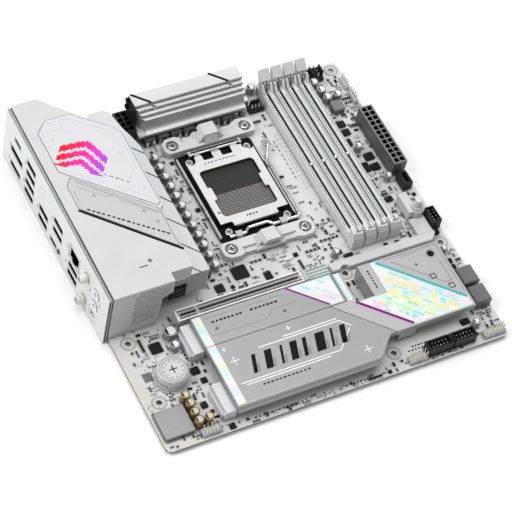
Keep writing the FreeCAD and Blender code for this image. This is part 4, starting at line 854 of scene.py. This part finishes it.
def coil_leads(heap):
    """Folded copper leads: on the near side of the upper coils, on both long sides of the rear ones."""
    half, thick = 0.9, 0.14
    upper_row = 210
    for x0, x1, y0, y1, _, top in solids_of("vrm_chokes"):
        fold = top - 1.6
        for share in (0.22, 0.78):
            if y0 > upper_row:
                mid = x0 + share * (x1 - x0)
                heap.block(mid - half, mid + half, y0 - thick, y0 + 0.02, TOP, fold, 0, 0.05)
                heap.block(mid - half, mid + half, y0 - 0.5, y0, TOP, TOP + 0.2, 0, 0.05)
                continue
            mid = y0 + share * (y1 - y0)
            for low in (x0 - thick, x1):
                heap.block(low, low + thick, mid - half, mid + half, TOP, fold, 0, 0.05)


# Mounting holes of the micro-ATX pattern, from the board's rear corner.
MOUNT_HOLES = [(33.02, 237.49), (165.1, 237.49), (237.49, 237.49), (10.16, 80.01), (165.1, 80.01),
               (237.49, 80.01), (10.16, 34.29), (165.1, 13.97)]


def hole_rings(heap):
    """Plated ring and a circle of small bonding dots round each mounting hole."""
    bore, land, clear = 2.02, 4.1, 5.2
    for x, y in MOUNT_HOLES:
        heap.washer(x, y, bore, land, TOP, TOP + 0.05, 0)
        heap.washer(x, y, land, 4.35, TOP, TOP + FILM, 2)
        heap.washer(x, y, 4.75, 5.0, TOP, TOP + FILM, 1)
        for a, b in around(x, y, 3.1, 10):
            heap.turned(a, b, [(0.36, TOP + 0.04), (0.3, TOP + 0.1)], 1, 8)
        heap.washer(x, y, bore, land, -0.04, 0.0, 0)
        ground.take(x - clear, x + clear, y - clear, y + clear)


def board_tracks(heap):
    """Bundles of parallel tracks under the mask, each with two 45 degree bends."""
    dice = random.Random(11)
    pitch = 0.62
    # x, y, tracks, way of the bend, length
    bundles = [(88.0, 112.0, 9, -1, 20.0), (110.0, 124.0, 8, -1, 18.0), (138.0, 122.0, 8, -1, 22.0),
               (6.0, 62.0, 7, 1, 15.0), (30.0, 60.0, 6, 1, 16.0), (213.0, 132.0, 8, 1, 16.0),
               (213.0, 100.0, 6, -1, 12.0)]
    for x, y, count, way, length in bundles:
        bend = dice.uniform(3.0, 6.0)
        for i in range(count):
            start = y + i * pitch
            first = x + length * 0.35 + way * i * 0.26
            after = start + way * bend
            path = [(x, start), (first, start), (first + bend, after), (x + length, after)]
            heap.ribbon(path, 0.2, TOP, TOP + FILM, 0)


def dashes(heap, x0, y0, x1, y1, z, count, width, mark, dice):
    """A row of plain bars of uneven length along a line, in place of printed words."""
    gap = 0.35
    run = Vector((x1 - x0, y1 - y0))
    for i in range(count):
        a = (i + gap * dice.uniform(0.5, 1.1)) / count
        b = (i + 1 - gap * dice.uniform(0.2, 0.5)) / count
        heap.line([(x0 + run.x * a, y0 + run.y * a), (x0 + run.x * b, y0 + run.y * b)], width, z, mark)


def board_marks(heap):
    """Printed outlines, plus marks, slanted bars and short dashes."""
    dice = random.Random(3)
    top = TOP + FILM
    # outlines round the battery, the power sockets and the drive sockets
    heap.washer(25.2, 48.6, 12.2, 12.5, TOP, top, 0, 48)
    for name in ("power_connectors", "sata_connectors", "pin_headers", "audio_shield"):
        for x0, x1, y0, y1, z0, _ in solids_of(name):
            if z0 > TOP + 0.5:
                continue
            x0, x1, y0, y1 = x0 - 0.5, min(x1 + 0.5, BOARD_SIDE - 0.4), y0 - 0.5, y1 + 0.5
            around_part = [(x0, y0), (x1, y0), (x1, y1), (x0, y1), (x0, y0)]
            heap.ribbon(around_part, 0.16, TOP, top, 0)
    # plus marks and dashes between the socket and the memory slots
    for x, y in ((171.2, 133.0), (177.0, 137.5), (164.6, 127.2)):
        heap.plus(x, y, 1.5, 0.3, TOP, top, 0)
    for i in range(5):
        heap.ribbon([(161.0 + i * 2.0, 118.0), (163.4 + i * 2.0, 122.4)], 0.55, TOP, top, 0)
    for x in (173.6, 175.6, 177.6):
        dashes(heap, x, 200.0, x, 150.0, TOP, 14, 0.22, 0, dice)
    dashes(heap, 170.6, 196.0, 170.6, 160.0, TOP, 9, 0.9, 1, dice)
    for _ in range(60):
        x = dice.uniform(3, 236)
        y = dice.uniform(3, 239)
        long = dice.uniform(1.2, 3.2)
        if ground.free(x, x + long, y - 0.5, y + 0.5):
            dashes(heap, x, y, x + long, y, TOP, 3, 0.35, 0, dice)
    for _ in range(700):
        x = dice.uniform(3, 240)
        y = dice.uniform(3, 240)
        if ground.free(x - 0.4, x + 0.4, y - 0.4, y + 0.4):
            heap.turned(x, y, [(0.26, TOP), (0.22, top + 0.01)], 2, 8)
    # pale guard strip along the rear edge of the sound section
    heap.ribbon([(23.0, 1.2), (1.2, 1.2), (1.2, 72.0)], 0.9, TOP, top, 3)
    heap.ribbon([(4.5, 36.0), (4.5, 84.0), (8.0, 87.0)], 0.8, TOP, top, 3)
    heap.slab([(8.2, 50.0), (14.4, 50.0), (14.4, 56.8), (8.2, 56.8)], TOP, TOP + 0.02, 1)
    for i in range(4):
        low, high = 50.8 + i * 1.4, 52.0 + i * 1.4
        heap.slab([(9.0, low), (10.0, low), (13.8, high), (12.8, high)], TOP, top, 0)
    # rows of plain bars along the front edge, in place of printed words
    for x, y, long, count in ((174.0, 11.8, 24.0, 10), (178.0, 14.2, 26.0, 12), (206.0, 14.2, 16.0, 7),
                              (124.0, 3.4, 20.0, 8), (60.0, 3.4, 30.0, 11)):
        dashes(heap, x, y, x + long, y, TOP, count, 1.1, 0, dice)
    border = [(34.0, 1.0), (34.0, 8.0), (29.6, 14.0), (29.6, 31.0), (24.0, 34.0), (2.0, 34.0)]
    heap.ribbon(border, 0.35, TOP, top, 0)


def shield_strip(heap):
    """Ribbed grey strip on the rear plate's folded rim, with a dark line beside it. The knurled metal is
    drawn in inks: dark grey for painted shade, white ribs for painted highlights, and on its near end black
    edges of painted shade round a white painted highlight.
    """
    x0, _, y0, y1, z0, z1 = part_box("io_shield")
    shroud = part_box("io_shroud")[0]
    rim0 = x0 + 0.8
    rim1 = x0 + 2.7
    # painted shade: dark grey ink on the knurled strip
    heap.block(rim0, rim1, y0 + 0.2, y1 - 0.2, z1, z1 + 0.3, 0)
    pitch = 1.3
    for i in range(int((y1 - y0) / pitch)):
        y = y0 + 0.5 + i * pitch
        # painted highlights: white ribs
        heap.block(rim0 + 0.15, rim1 - 0.15, y, y + 0.7, z1 + 0.25, z1 + 0.6, 1, 0.1)
    heap.block(rim1, shroud - 0.03, y0 + 0.2, y1 - 0.2, z1 - 0.6, z1 + 0.5, 2)
    for low, high, mark in ((rim0, rim0 + 0.6, 2), (rim0 + 0.6, rim1 - 0.6, 1), (rim1 - 0.6, rim1, 2)):
        heap.block(low, high, y0 - 0.35, y0, z0 + 0.4, z1 - 0.2, mark)


def shield_marks(heap):
    """Small plain ticks beside the openings of the rear plate."""
    face = part_box("io_shield")[0]
    for y, z in ((214.6, 9.0), (214.6, 26.8), (192.2, 9.0), (171.8, 22.0), (147.0, 8.4), (147.2, 24.0),
                 (127.4, 18.0), (112.0, 23.0), (98.4, 23.0), (238.6, 18.0), (238.6, 5.0)):
        for i in range(3):
            heap.block(face - FILM, face + FILM, y - 0.9, y + 0.9, z + i * 1.2, z + 0.5 + i * 1.2, 0)


# ------------------------------------------------------------------ panel artwork

def lamp_emblem(heap):
    """Nested chevrons of lit squares under the clear lid, red to purple."""
    z = part_box("shroud_light_panel")[5]
    centre_x, centre_y = 29.5, 199.5
    turn = math.radians(-38.0)
    cosine, sine = math.cos(turn), math.sin(turn)
    step = 1.35
    half = step * 0.5
    widest = 14.9
    for i in range(-12, 13):
        for j in range(-12, 13):
            u, v = i * step, j * step
            # three chevrons, each a range of this height above the centre line
            band = v + abs(u) * 0.62
            inside = -11.5 < band < -6.8 or -4.2 < band < 0.8 or 3.4 < band < 8.8
            if not inside or abs(u) > widest:
                continue
            x = centre_x + u * cosine - v * sine
            y = centre_y + u * sine + v * cosine
            corners = [(x + (a * cosine - b * sine) * half, y + (a * sine + b * cosine) * half)
                       for a, b in ((-1, -1), (1, -1), (1, 1), (-1, 1))]
            shade = min(4, max(0, int((16.5 + u - v * 0.2) / 6.6)))
            heap.slab(corners, z - FILM, z + FILM, shade)


def cover_lines(heap):
    """Thin lines, plus marks and plain bars on the rear cover's panels and its near corner."""
    dice = random.Random(5)
    lid = part_box("shroud_light_panel")[5]
    top = part_box("io_shroud")[5]
    for path in ([(10, 226), (10, 208), (17, 200)], [(13, 227.5), (30, 227.5), (38, 220.5), (49, 211)],
                 [(55.6, 203), (55.6, 178), (46, 168)], [(11, 190), (16, 185), (24, 178)],
                 [(46, 214), (52, 208), (52, 196)], [(36, 168), (54, 151)],
                 [(12, 221), (22, 221), (27, 216)]):
        heap.line(path, 0.28, lid, 2)
    spots = [(13.5, 214), (50.0, 190.0), (41.0, 172.0), (24.0, 224.0), (53.0, 160.0)]
    heap.crosses(spots, 1.5, 0.4, lid, 2)
    dashes(heap, 47.0, 166.0, 30.0, 181.0, lid, 6, 0.8, 0, dice)
    trim = part_box("shroud_trim_panel")[5]
    dashes(heap, 11.6, 157.0, 53.4, 121.4, trim, 17, 1.15, 1, dice)
    for path in ([(12.5, 175.5), (28.0, 161.5), (31.5, 161.5)], [(34.0, 156.6), (52.8, 139.0)],
                 [(10.0, 172.6), (10.0, 163.5)]):
        heap.line(path, 0.25, trim, 0)
    heap.crosses([(20.5, 165.0), (45.0, 143.4), (50.0, 133.0)], 1.7, 0.4, trim, 0)
    heap.crosses([(32.6, 107.4)], 1.6, 0.7, top, 1)
    heap.line([(24.4, 104.6), (30.0, 104.6)], 0.7, top, 1)


def slanted_bar(heap, x, y, long, wide, lean, z, mark):
    """A printed parallelogram that stands on a base line."""
    outline = [(x, y), (x + wide, y), (x + wide + lean, y + long), (x + lean, y + long)]
    heap.slab(outline, z - FILM, z + FILM, mark)


def plate_marks(heap):
    """Plain graphics on the drive heatsinks: slanted bars, long white lines, plus marks and dashes."""
    dice = random.Random(9)
    z = part_box("m2_heatsink_lower")[5]
    for i, wide in enumerate((5.0, 9.0, 3.2, 9.0, 5.0, 12.0, 3.2, 7.0)):
        x = 69.0 + i * 8.9 + (wide < 4) * 2.0
        slanted_bar(heap, x, 25.4, 13.0, wide * 0.55, 4.0, z, 0)
        slanted_bar(heap, x + wide * 0.55 + 0.8, 25.4, 6.0, 0.9, 1.9, z, 2)
    for path in ([(58.0, 21.5), (128.0, 21.5), (141.0, 34.4)], [(61.0, 19.6), (120.0, 19.6)],
                 [(80.0, 41.6), (137.0, 41.6), (143.0, 35.6)], [(98.0, 43.6), (136.0, 43.6)]):
        heap.line(path, 0.75, z, 1)
    for x, y, reach in ((61.6, 38.0, 3.2), (144.6, 16.0, 3.0), (104.0, 48.2, 1.6), (58.8, 47.8, 1.6)):
        heap.crosses([(x, y)], reach, 0.6, z, 1)
    dashes(heap, 70.0, 16.4, 104.0, 16.4, z, 12, 1.0, 0, dice)
    # upper plate
    dashes(heap, 60.0, 68.8, 82.0, 68.8, z, 8, 1.3, 0, dice)
    dashes(heap, 87.0, 68.8, 107.0, 68.8, z, 7, 1.3, 0, dice)
    heap.line([(58.0, 72.4), (110.6, 72.4), (114.0, 69.0)], 0.3, z, 2)
    heap.line([(58.0, 59.4), (96.0, 59.4), (101.0, 64.4), (118.0, 64.4)], 0.3, z, 2)
    heap.crosses([(62.0, 63.6), (108.0, 60.4)], 1.5, 0.45, z, 0)
    # beside and on the chipset cover
    heap.slab([(149.5, 52.8), (153.8, 52.8), (153.8, 74.2), (149.5, 74.2)], z - FILM, z + FILM, 1)
    for x, wide in ((149.9, 0.6), (151.1, 0.3), (153.4, 0.3)):
        heap.ribbon([(x, 53.0), (x, 74.0)], wide, z - FILM, z + 2 * FILM, 3)
    dashes(heap, 152.2, 71.0, 152.2, 57.0, z + FILM, 6, 0.8, 4, dice)
    dashes(heap, 172.6, 70.0, 172.6, 55.0, z, 6, 1.1, 0, dice)
    heap.line([(190.4, 70.4), (217.0, 43.8), (221.8, 43.8), (221.8, 60.0)], 0.4, z, 2)
    heap.line([(198.0, 71.4), (210.0, 71.4)], 0.35, z, 2)
    heap.turned(218.8, 67.0, [(2.5, z - FILM), (2.5, z + FILM)], 0, 24)
    heap.washer(218.8, 67.0, 3.1, 3.4, z - FILM, z + FILM, 2)
    for x, y in ((210.0, 48.8), (218.2, 38.2)):
        heap.line([(x, y), (x + 3.4, y), (x + 3.4, y + 3.4), (x, y + 3.4), (x, y)], 0.6, z, 0)
    heap.crosses([(205.6, 62.4)], 1.5, 0.45, z, 0)


def inside_outline(x, y, outline):
    """Whether a point lies within a polygon."""
    found = False
    for (ax, ay), (bx, by) in zip(outline, outline[1:] + outline[:1]):
        if (ay > y) != (by > y) and x < (bx - ax) * (y - ay) / (by - ay) + ax:
            found = not found
    return found


def top_outline(name):
    """Corner ring of a flat piece's top face, in board millimetres."""
    mesh = nodes[name].data
    high = part_box(name)[5]
    world = nodes[name].matrix_world
    edges = {}
    for face in mesh.polygons:
        spots = [world @ mesh.vertices[i].co for i in face.vertices]
        if min(s.z for s in spots) < (high - 0.01) * MM:
            continue
        ring = [(round((s.x - board_low.x) / MM, 3), round((s.y - board_low.y) / MM, 3)) for s in spots]
        for a, b in zip(ring, ring[1:] + ring[:1]):
            edges[(a, b)] = edges.get((a, b), 0) + 1
    links = {a: b for a, b in edges if (b, a) not in edges}
    start = next(iter(links))
    outline = [start]
    while links[outline[-1]] != start:
        outline.append(links[outline[-1]])
    return outline


SLANT = math.sqrt(0.5)


def panel_art(heap):
    """Slanted rows of pastel bars under the pearl film, and a bright line along each panel's long edges."""
    dice = random.Random(21)
    for name, edge in (("m2_panel", 1.3), ("chipset_panel", 1.9)):
        z = part_box(name)[5]
        outline = top_outline(name)
        xs = [p[0] for p in outline]
        ys = [p[1] for p in outline]
        span = max(xs) - min(xs) + max(ys) - min(ys)
        row = 0
        mid_x = sum(xs) / len(xs)
        mid_y = sum(ys) / len(ys)
        v = -60.0
        while v < 60.0:
            wide = dice.choice((1.0, 1.8, 2.4, 2.8))
            u = -60.0 + dice.uniform(0, 3)
            while u < 60.0:
                long = dice.uniform(1.6, 8.5)
                x = mid_x + (u + v) * SLANT
                y = mid_y + (v - u) * SLANT
                x1, y1 = x + long * SLANT, y - long * SLANT
                edge_off = wide * SLANT / 2 + 0.2
                sides = [(a + side * edge_off, b + side * edge_off)
                         for a, b in ((x, y), (x1, y1)) for side in (-1, 1)]
                if dice.random() < 0.8 and all(inside_outline(a, b, outline) for a, b in sides):
                    shift = (x + y - min(xs) - min(ys)) / span
                    mark = (int(shift * 7 + dice.random() * 2.2) + row // 4) % 6
                    heap.line([(x, y), (x1, y1)], wide, z, mark)
                u += long + dice.uniform(0.4, 2.2)
            v += wide / 2 + 1.9
            row += 1
        # bright edge lines: the side facing the memory slots and the side facing the front edge
        count = len(outline)
        for i in range(count):
            a, b = outline[i], outline[(i + 1) % count]
            run = Vector((b[0] - a[0], b[1] - a[1]))
            if run.length < 15.0 or abs(abs(run.x) - abs(run.y)) > 6.0:
                continue
            inner = Vector((sum(xs) / count - (a[0] + b[0]) / 2, sum(ys) / count - (a[1] + b[1]) / 2))
            mark = 6 if inner.x + inner.y < 0 else 7
            side = Vector((-run.y, run.x)).normalized()
            if side.dot(inner) < 0:
                side = -side
            off = side * (edge / 2 + 0.1)
            ends = [(a[0] + off.x, a[1] + off.y), (b[0] + off.x, b[1] + off.y)]
            heap.ribbon(ends, edge, z - FILM, z + 2 * FILM, mark)


def battery_rings(heap):
    """Raised rings and a plus mark on the battery holder's lid."""
    x0, x1, y0, y1, _, top = part_box("battery_holder")
    x, y = (x0 + x1) / 2, (y0 + y1) / 2
    heap.washer(x, y, 8.6, 8.9, top - 0.02, top + 0.08, 1, 48)
    heap.washer(x, y, 7.2, 7.5, top - 0.02, top + 0.08, 1, 48)
    heap.crosses([(x, y)], 2.8, 0.8, top, 0)
    for i, ends in enumerate(zip(around(x, y, 5.2, 12), around(x, y, 6.6, 12))):
        heap.line(ends, 0.45, top, min(i % 3, 1))


def painted_window_shade(heap):
    """Dark marks for the contact windows beside each memory slot's slit and for the contact tips in the
    graphics slot: painted shade in these openings.
    """
    level = 9.8
    pitch = 1.7
    for x0, x1, y0, y1, _, _ in solids_of("dimm_slots"):
        mid = (x0 + x1) / 2
        for i in range(int((y1 - y0 - 26) / pitch)):
            y = y0 + 13.0 + i * pitch
            for side in (-2.15, 2.15):
                # painted shade in the contact windows
                heap.block(mid + side - 0.22, mid + side + 0.22, y, y + 0.85, level - FILM, level + FILM, 0)
    x0, x1, y0, y1, _, top = part_box("pcie_slot")
    mid = (y0 + y1) / 2
    for i in range(int((x1 - x0 - 8) / 2.0)):
        x = x0 + 4 + i * 2.0
        for side in (-1.45, 1.45):
            # painted shade in the graphics slot's contact openings
            heap.block(x, x + 0.9, mid + side - 0.2, mid + side + 0.2, top - FILM, top + FILM, 0)


def painted_slit_shade_and_lips(heap):
    """Black blocks at the bottom of slits, painted shade: cover slot, upper heatsink slots, memory slots,
    graphics slot; brighter sleeve lips.
    """
    top = part_box("io_shroud")[5]
    heap.ribbon([(6.9, 157.5), (56.2, 108.2)], 1.9, top - 0.3, top + FILM, 0)
    top = part_box("top_vrm_heatsink")[5]
    for x in (90.0, 147.0):
        heap.ribbon([(x - 7.2, 242.6), (x + 3.1, 232.3)], 1.9, top - 0.3, top + FILM, 0)
    for x0, x1, y0, y1, _, _ in solids_of("dimm_slots"):
        mid = (x0 + x1) / 2
        heap.block(mid - 0.62, mid + 0.62, y0 + 9.0, y1 - 9.6, 4.4, 8.0, 0, 0.2)
    x0, x1, y0, y1, _, top = part_box("pcie_slot")
    mid = (y0 + y1) / 2
    heap.block(x0 + 3.0, x1 - 4.0, mid - 0.8, mid + 0.8, 5.0, top - 1.6, 0, 0.3)
    x0, x1, y0, y1, _, top = part_box("pcie_slot_shell")
    for y in (y0 + 0.15, y1 - 0.65):
        heap.block(x0 + 1.0, x1 - 1.0, y, y + 0.5, top - 0.1, top + 0.08, 1, 0.06)


def sink_ends(heap):
    """Black moulded end cap with a rear hook on the upper heatsink, and a black plate with three grey ribs
    on the near end of the rear one.
    """
    x0, _, _, y1, z0, z1 = part_box("top_vrm_heatsink")
    cap = [(y1 - 11.0, z1 - 0.3), (y1 - 13.4, z0 + 11.0), (y1 - 14.6, z0 + 5.4), (y1 - 14.6, z0 + 1.0),
           (y1 - 0.4, z0 + 1.0), (y1 - 0.4, z1 - 0.3)]
    heap.plank(cap, x0 - 0.5, x0 + 0.02, 0)
    for z in (z1 - 3.4, z1 - 9.2):
        hook = [(y1 - 3.4, z), (y1 - 0.8, z), (y1 - 0.8, z + 2.8), (y1 - 2.2, z + 2.8)]
        heap.plank(hook, x0 - 2.6, x0 - 0.45, 0)
    x0, _, y0, _, z0, z1 = part_box("rear_vrm_heatsink")
    heap.block(x0 + 0.4, x0 + 12.0, y0 - 0.5, y0 + 0.02, z0 + 0.3, z1 - 8.2, 0, 0.12)
    for i in range(3):
        z = z0 + 2.4 + i * 2.8
        heap.block(x0 + 2.0, x0 + 10.6, y0 - 0.62, y0 - 0.48, z, z + 0.5, 1)


def header_collars(heap):
    """Pale strips that hold the pins of the open headers."""
    skin = 0.06
    for x0, x1, y0, y1, _, z1 in solids_of("pin_headers"):
        # taller headers have a shroud of their own
        if z1 < 5.0:
            heap.block(x0 - skin, x1 + skin, y0 - skin, y1 + skin, TOP, z1 + skin, 0, 0.3)


def can_marks(heap):
    """A dark ring, painted shade in the pressed groove, and a dark printed segment on top of each can
    capacitor.
    """
    for name in ("vrm_capacitors", "can_capacitors", "audio_capacitors"):
        for x0, x1, y0, y1, _, top in solids_of(name):
            x, y = (x0 + x1) / 2, (y0 + y1) / 2
            radius = (x1 - x0) / 2 - 0.75
            # painted shade: the pressed groove drawn as a dark ring
            heap.washer(x, y, radius, radius + 0.4, top - FILM, top + FILM, 0)
            arc = [(x + radius * math.cos(math.radians(a)), y + radius * math.sin(math.radians(a)))
                   for a in range(125, 236, 10)]
            heap.slab(arc, top - FILM, top + FILM, 0)


def load_plate_stamp(heap):
    """Corner triangle and a few plain bars stamped on the socket's load plate."""
    x0, x1, y0, _, _, _ = part_box("load_plate")
    top = 6.3
    dice = random.Random(2)
    middle = (x0 + x1) / 2
    dashes(heap, middle - 6.0, y0 + 5.0, middle + 3.0, y0 + 5.0, top, 4, 1.2, 0, dice)
    triangle = [(x0 + 2.4, y0 + 12.0), (x0 + 4.6, y0 + 12.0), (x0 + 2.4, y0 + 14.2)]
    heap.slab(triangle, top - FILM, top + FILM, 0)
    dashes(heap, middle - 14.0, 189.4, middle + 10.0, 189.4, top, 9, 0.7, 0, dice)


def solder_joints(heap):
    """Cone-shaped joints under the board where pins come through."""
    for x0, x1, y0, y1, _, _ in solids_of("header_pins"):
        heap.turned((x0 + x1) / 2, (y0 + y1) / 2, [(0.3, -0.85), (0.85, -0.12), (0.95, 0.0)], 0, 10)
    for x0, x1, y0, y1, _, _ in solids_of("dimm_slots"):
        mid = (x0 + x1) / 2
        for i in range(72):
            y = y0 + 6 + i * 1.85
            for side in (-1.9, 1.9):
                heap.turned(mid + side, y + (side > 0) * 0.9, [(0.25, -0.5), (0.5, 0.0)], 0, 6)
    x0, x1, y0, y1, _, _ = part_box("pcie_slot")
    for i in range(42):
        x = x0 + 3 + i * 2.0
        for side in (-2.0, -1.0, 1.0, 2.0):
            heap.turned(x + (abs(side) > 1.5) * 1.0, (y0 + y1) / 2 + side, [(0.25, -0.5), (0.48, 0.0)], 0, 6)
    for x0, x1, y0, y1, _, _ in solids_of("usb_ports"):
        for x in (2.0, 9.0, 16.0):
            for y in (y0 + 1.0, y1 - 1.0):
                heap.turned(x, y, [(0.4, -0.85), (0.9, -0.15), (1.0, 0.0)], 0, 10)


def flat_ink(name, colour, rough=0.55):
    """Printed film with a faint grain."""
    finish = Finish(name, colour, rough).dull(0.1)
    finish.grain(finish.noise(0.5, 3.0), 0.85)
    return finish.bump(finish.noise(0.3), 0.004, 0.4).done()


def lamp_film(name, colour):
    """Coloured light that comes up through the clear lid."""
    finish = Finish(name, tuple(share * 0.25 for share in colour), 0.6).dull(0.05)
    finish.grain(finish.noise(0.8, 3.0), 0.8)
    return finish.bump(finish.noise(0.3), 0.004, 0.4).glow(colour, 0.8).done()


def add_details(finishes):
    """Makes each visual piece; a piece is named after the function that draws it."""
    dark = flat_ink("ink_dark", grey(0.006))
    mid = flat_ink("ink_grey", grey(0.20))
    pale = flat_ink("ink_white", grey(0.85), 0.4)
    mask_line = flat_ink("mask_line", grey(0.48), 0.4)
    via = flat_ink("mask_via", grey(0.42), 0.35)
    cream = flat_ink("guard_cream", (0.72, 0.66, 0.48), 0.4)
    solder = metal("solder_tin", grey(0.70), 0.24, None, 0.05, 0.5)
    tin = plastic("ring_tin", (0.60, 0.60, 0.58), 0.3, 0.05)
    body_grey = plastic("part_grey", (0.36, 0.34, 0.31), 0.5, 0.05)
    body_white = plastic("part_white", grey(0.70), 0.5, 0.05)
    black, white = finishes["chip_black"], finishes["holder_white"]
    chip_set = [black, solder, body_grey, body_white]
    lamps = [lamp_film("lamp_" + str(i), colour) for i, colour in enumerate(LAMP_COLOURS)]
    films = [flat_ink("film_" + str(i), colour, 0.25) for i, colour in enumerate(FILM_COLOURS)]
    # the first four take free places on the board in this order
    for draw, inks in ((hole_rings, [tin, mid, dark]), (chip_leads, chip_set), (chip_parts, chip_set),
                       (board_marks, [dark, mid, via, cream]), (board_tracks, [mask_line]),
                       (coil_leads, [solder]), (shield_strip, [mid, white, black]), (shield_marks, [mid]),
                       (lamp_emblem, lamps), (cover_lines, [mid, dark, mask_line]),
                       (plate_marks, [dark, pale, mid, films[6], films[2]]), (panel_art, films),
                       (battery_rings, [dark, mid]), (painted_window_shade, [dark]), (painted_slit_shade_and_lips, [dark, pale]),
                       (sink_ends, [black, mid]), (header_collars, [white]), (can_marks, [dark, mid]),
                       (load_plate_stamp, [dark]), (solder_joints, [solder])):
        heap = Heap(draw.__name__, inks)
        draw(heap)
        heap.made("load_plate" if draw is load_plate_stamp else "board")


# lamps from red to purple
LAMP_COLOURS = [(1.0, 0.02, 0.05), (1.0, 0.03, 0.14), (0.95, 0.04, 0.35), (0.80, 0.06, 0.62),
                (0.55, 0.08, 0.75)]
# six pastel inks, then the teal and purple edge lines
FILM_COLOURS = [(0.34, 0.76, 0.62), (0.52, 0.80, 0.44), (0.86, 0.84, 0.34), (0.84, 0.74, 0.34),
                (0.36, 0.74, 0.76), (0.82, 0.58, 0.66), (0.06, 0.44, 0.48), (0.26, 0.01, 0.20)]


# ------------------------------------------------------------------ studio

CAMERA_AZIMUTH = -38.4
CAMERA_ELEVATION = 52.73
CAMERA_ROLL = 14.67
CAMERA_DISTANCE = 1.3535
CAMERA_LENS = 147.56
# where the lens points, as shares of the board's side
CAMERA_AIM = (0.4767, 0.4626)
# surrounding light from straight down to straight up
SKY_BAND = ((0.0, (0.42, 0.42, 0.43, 1)), (0.9, (0.95, 0.95, 0.96, 1)))
SKY_STRENGTH = 0.56
# name, place from the object's middle, size in metres, power in watts
LAMPS = (("key", (-1.6, 0.4, 1.5), 1.1, 25.0), ("sky", (0.15, 0.15, 1.9), 1.2, 18.0),
         ("rim", (0.6, 1.1, 0.6), 0.5, 4.5))


def studio_camera():
    """The camera fitted to the photo; it looks down on the board from its front left."""
    data = bpy.data.cameras.new("camera")
    data.lens = CAMERA_LENS
    data.sensor_width = 36.0
    data.clip_start = 0.05
    data.clip_end = 20.0
    camera = bpy.data.objects.new("camera", data)
    bpy.context.scene.collection.objects.link(camera)
    azimuth = math.radians(CAMERA_AZIMUTH)
    elevation = math.radians(CAMERA_ELEVATION)
    back = Vector((math.sin(azimuth) * math.cos(elevation), -math.cos(azimuth) * math.cos(elevation),
                   math.sin(elevation)))
    side = board_high.x - board_low.x
    aim = Vector((board_low.x + CAMERA_AIM[0] * side, board_low.y + CAMERA_AIM[1] * side, board_high.z))
    turn = (-back).to_track_quat("-Z", "Y").to_matrix().to_4x4()
    roll = Matrix.Rotation(math.radians(CAMERA_ROLL), 4, "Z")
    camera.matrix_world = Matrix.Translation(aim + back * CAMERA_DISTANCE) @ turn @ roll
    bpy.context.scene.camera = camera


def soft_light(name, place, aim, size, power):
    """A square soft lamp turned towards a point."""
    data = bpy.data.lights.new(name, "AREA")
    data.shape = "SQUARE"
    data.size = size
    data.energy = power
    lamp = bpy.data.objects.new(name, data)
    bpy.context.scene.collection.objects.link(lamp)
    lamp.location = place
    lamp.rotation_mode = "QUATERNION"
    lamp.rotation_quaternion = (Vector(aim) - Vector(place)).to_track_quat("-Z", "Y")


def studio():
    """Pale surrounding light that is brighter from above, and the soft lamps."""
    scene = bpy.context.scene
    scene.view_settings.view_transform = "Standard"
    world = bpy.data.worlds.new("studio")
    world.use_nodes = True
    scene.world = world
    tree = world.node_tree
    back = tree.nodes["Background"]
    coords = tree.nodes.new("ShaderNodeTexCoord")
    split = tree.nodes.new("ShaderNodeSeparateXYZ")
    band = tree.nodes.new("ShaderNodeValToRGB")
    for element, (place, colour) in zip(band.color_ramp.elements, SKY_BAND):
        element.position = place
        element.color = colour
    tree.links.new(coords.outputs["Generated"], split.inputs[0])
    tree.links.new(split.outputs["Z"], band.inputs[0])
    tree.links.new(band.outputs[0], back.inputs[0])
    back.inputs[1].default_value = SKY_STRENGTH
    centre = (cad_box[0] + cad_box[1]) / 2
    for name, away, size, power in LAMPS:
        soft_light(name, centre + Vector(away), centre, size, power)


def floor():
    """A pale plane just under the board."""
    half = 6.0
    level = cad_box[0].z - 0.05 * MM
    mesh = bpy.data.meshes.new("floor")
    corners = [(-half, -half, level), (half, -half, level), (half, half, level), (-half, half, level)]
    mesh.from_pydata(corners, [], [(0, 1, 2, 3)])
    plane = bpy.data.objects.new("floor", mesh)
    bpy.context.scene.collection.objects.link(plane)
    finish = Finish("floor_pale", grey(0.93), 0.6)
    finish.mottle(0.01, 300.0)
    mesh.materials.append(finish.done())


finishes = make_finishes()
dress(finishes)
bpy.context.view_layer.update()
ground = Ground()
add_details(finishes)
floor()
studio()
studio_camera()
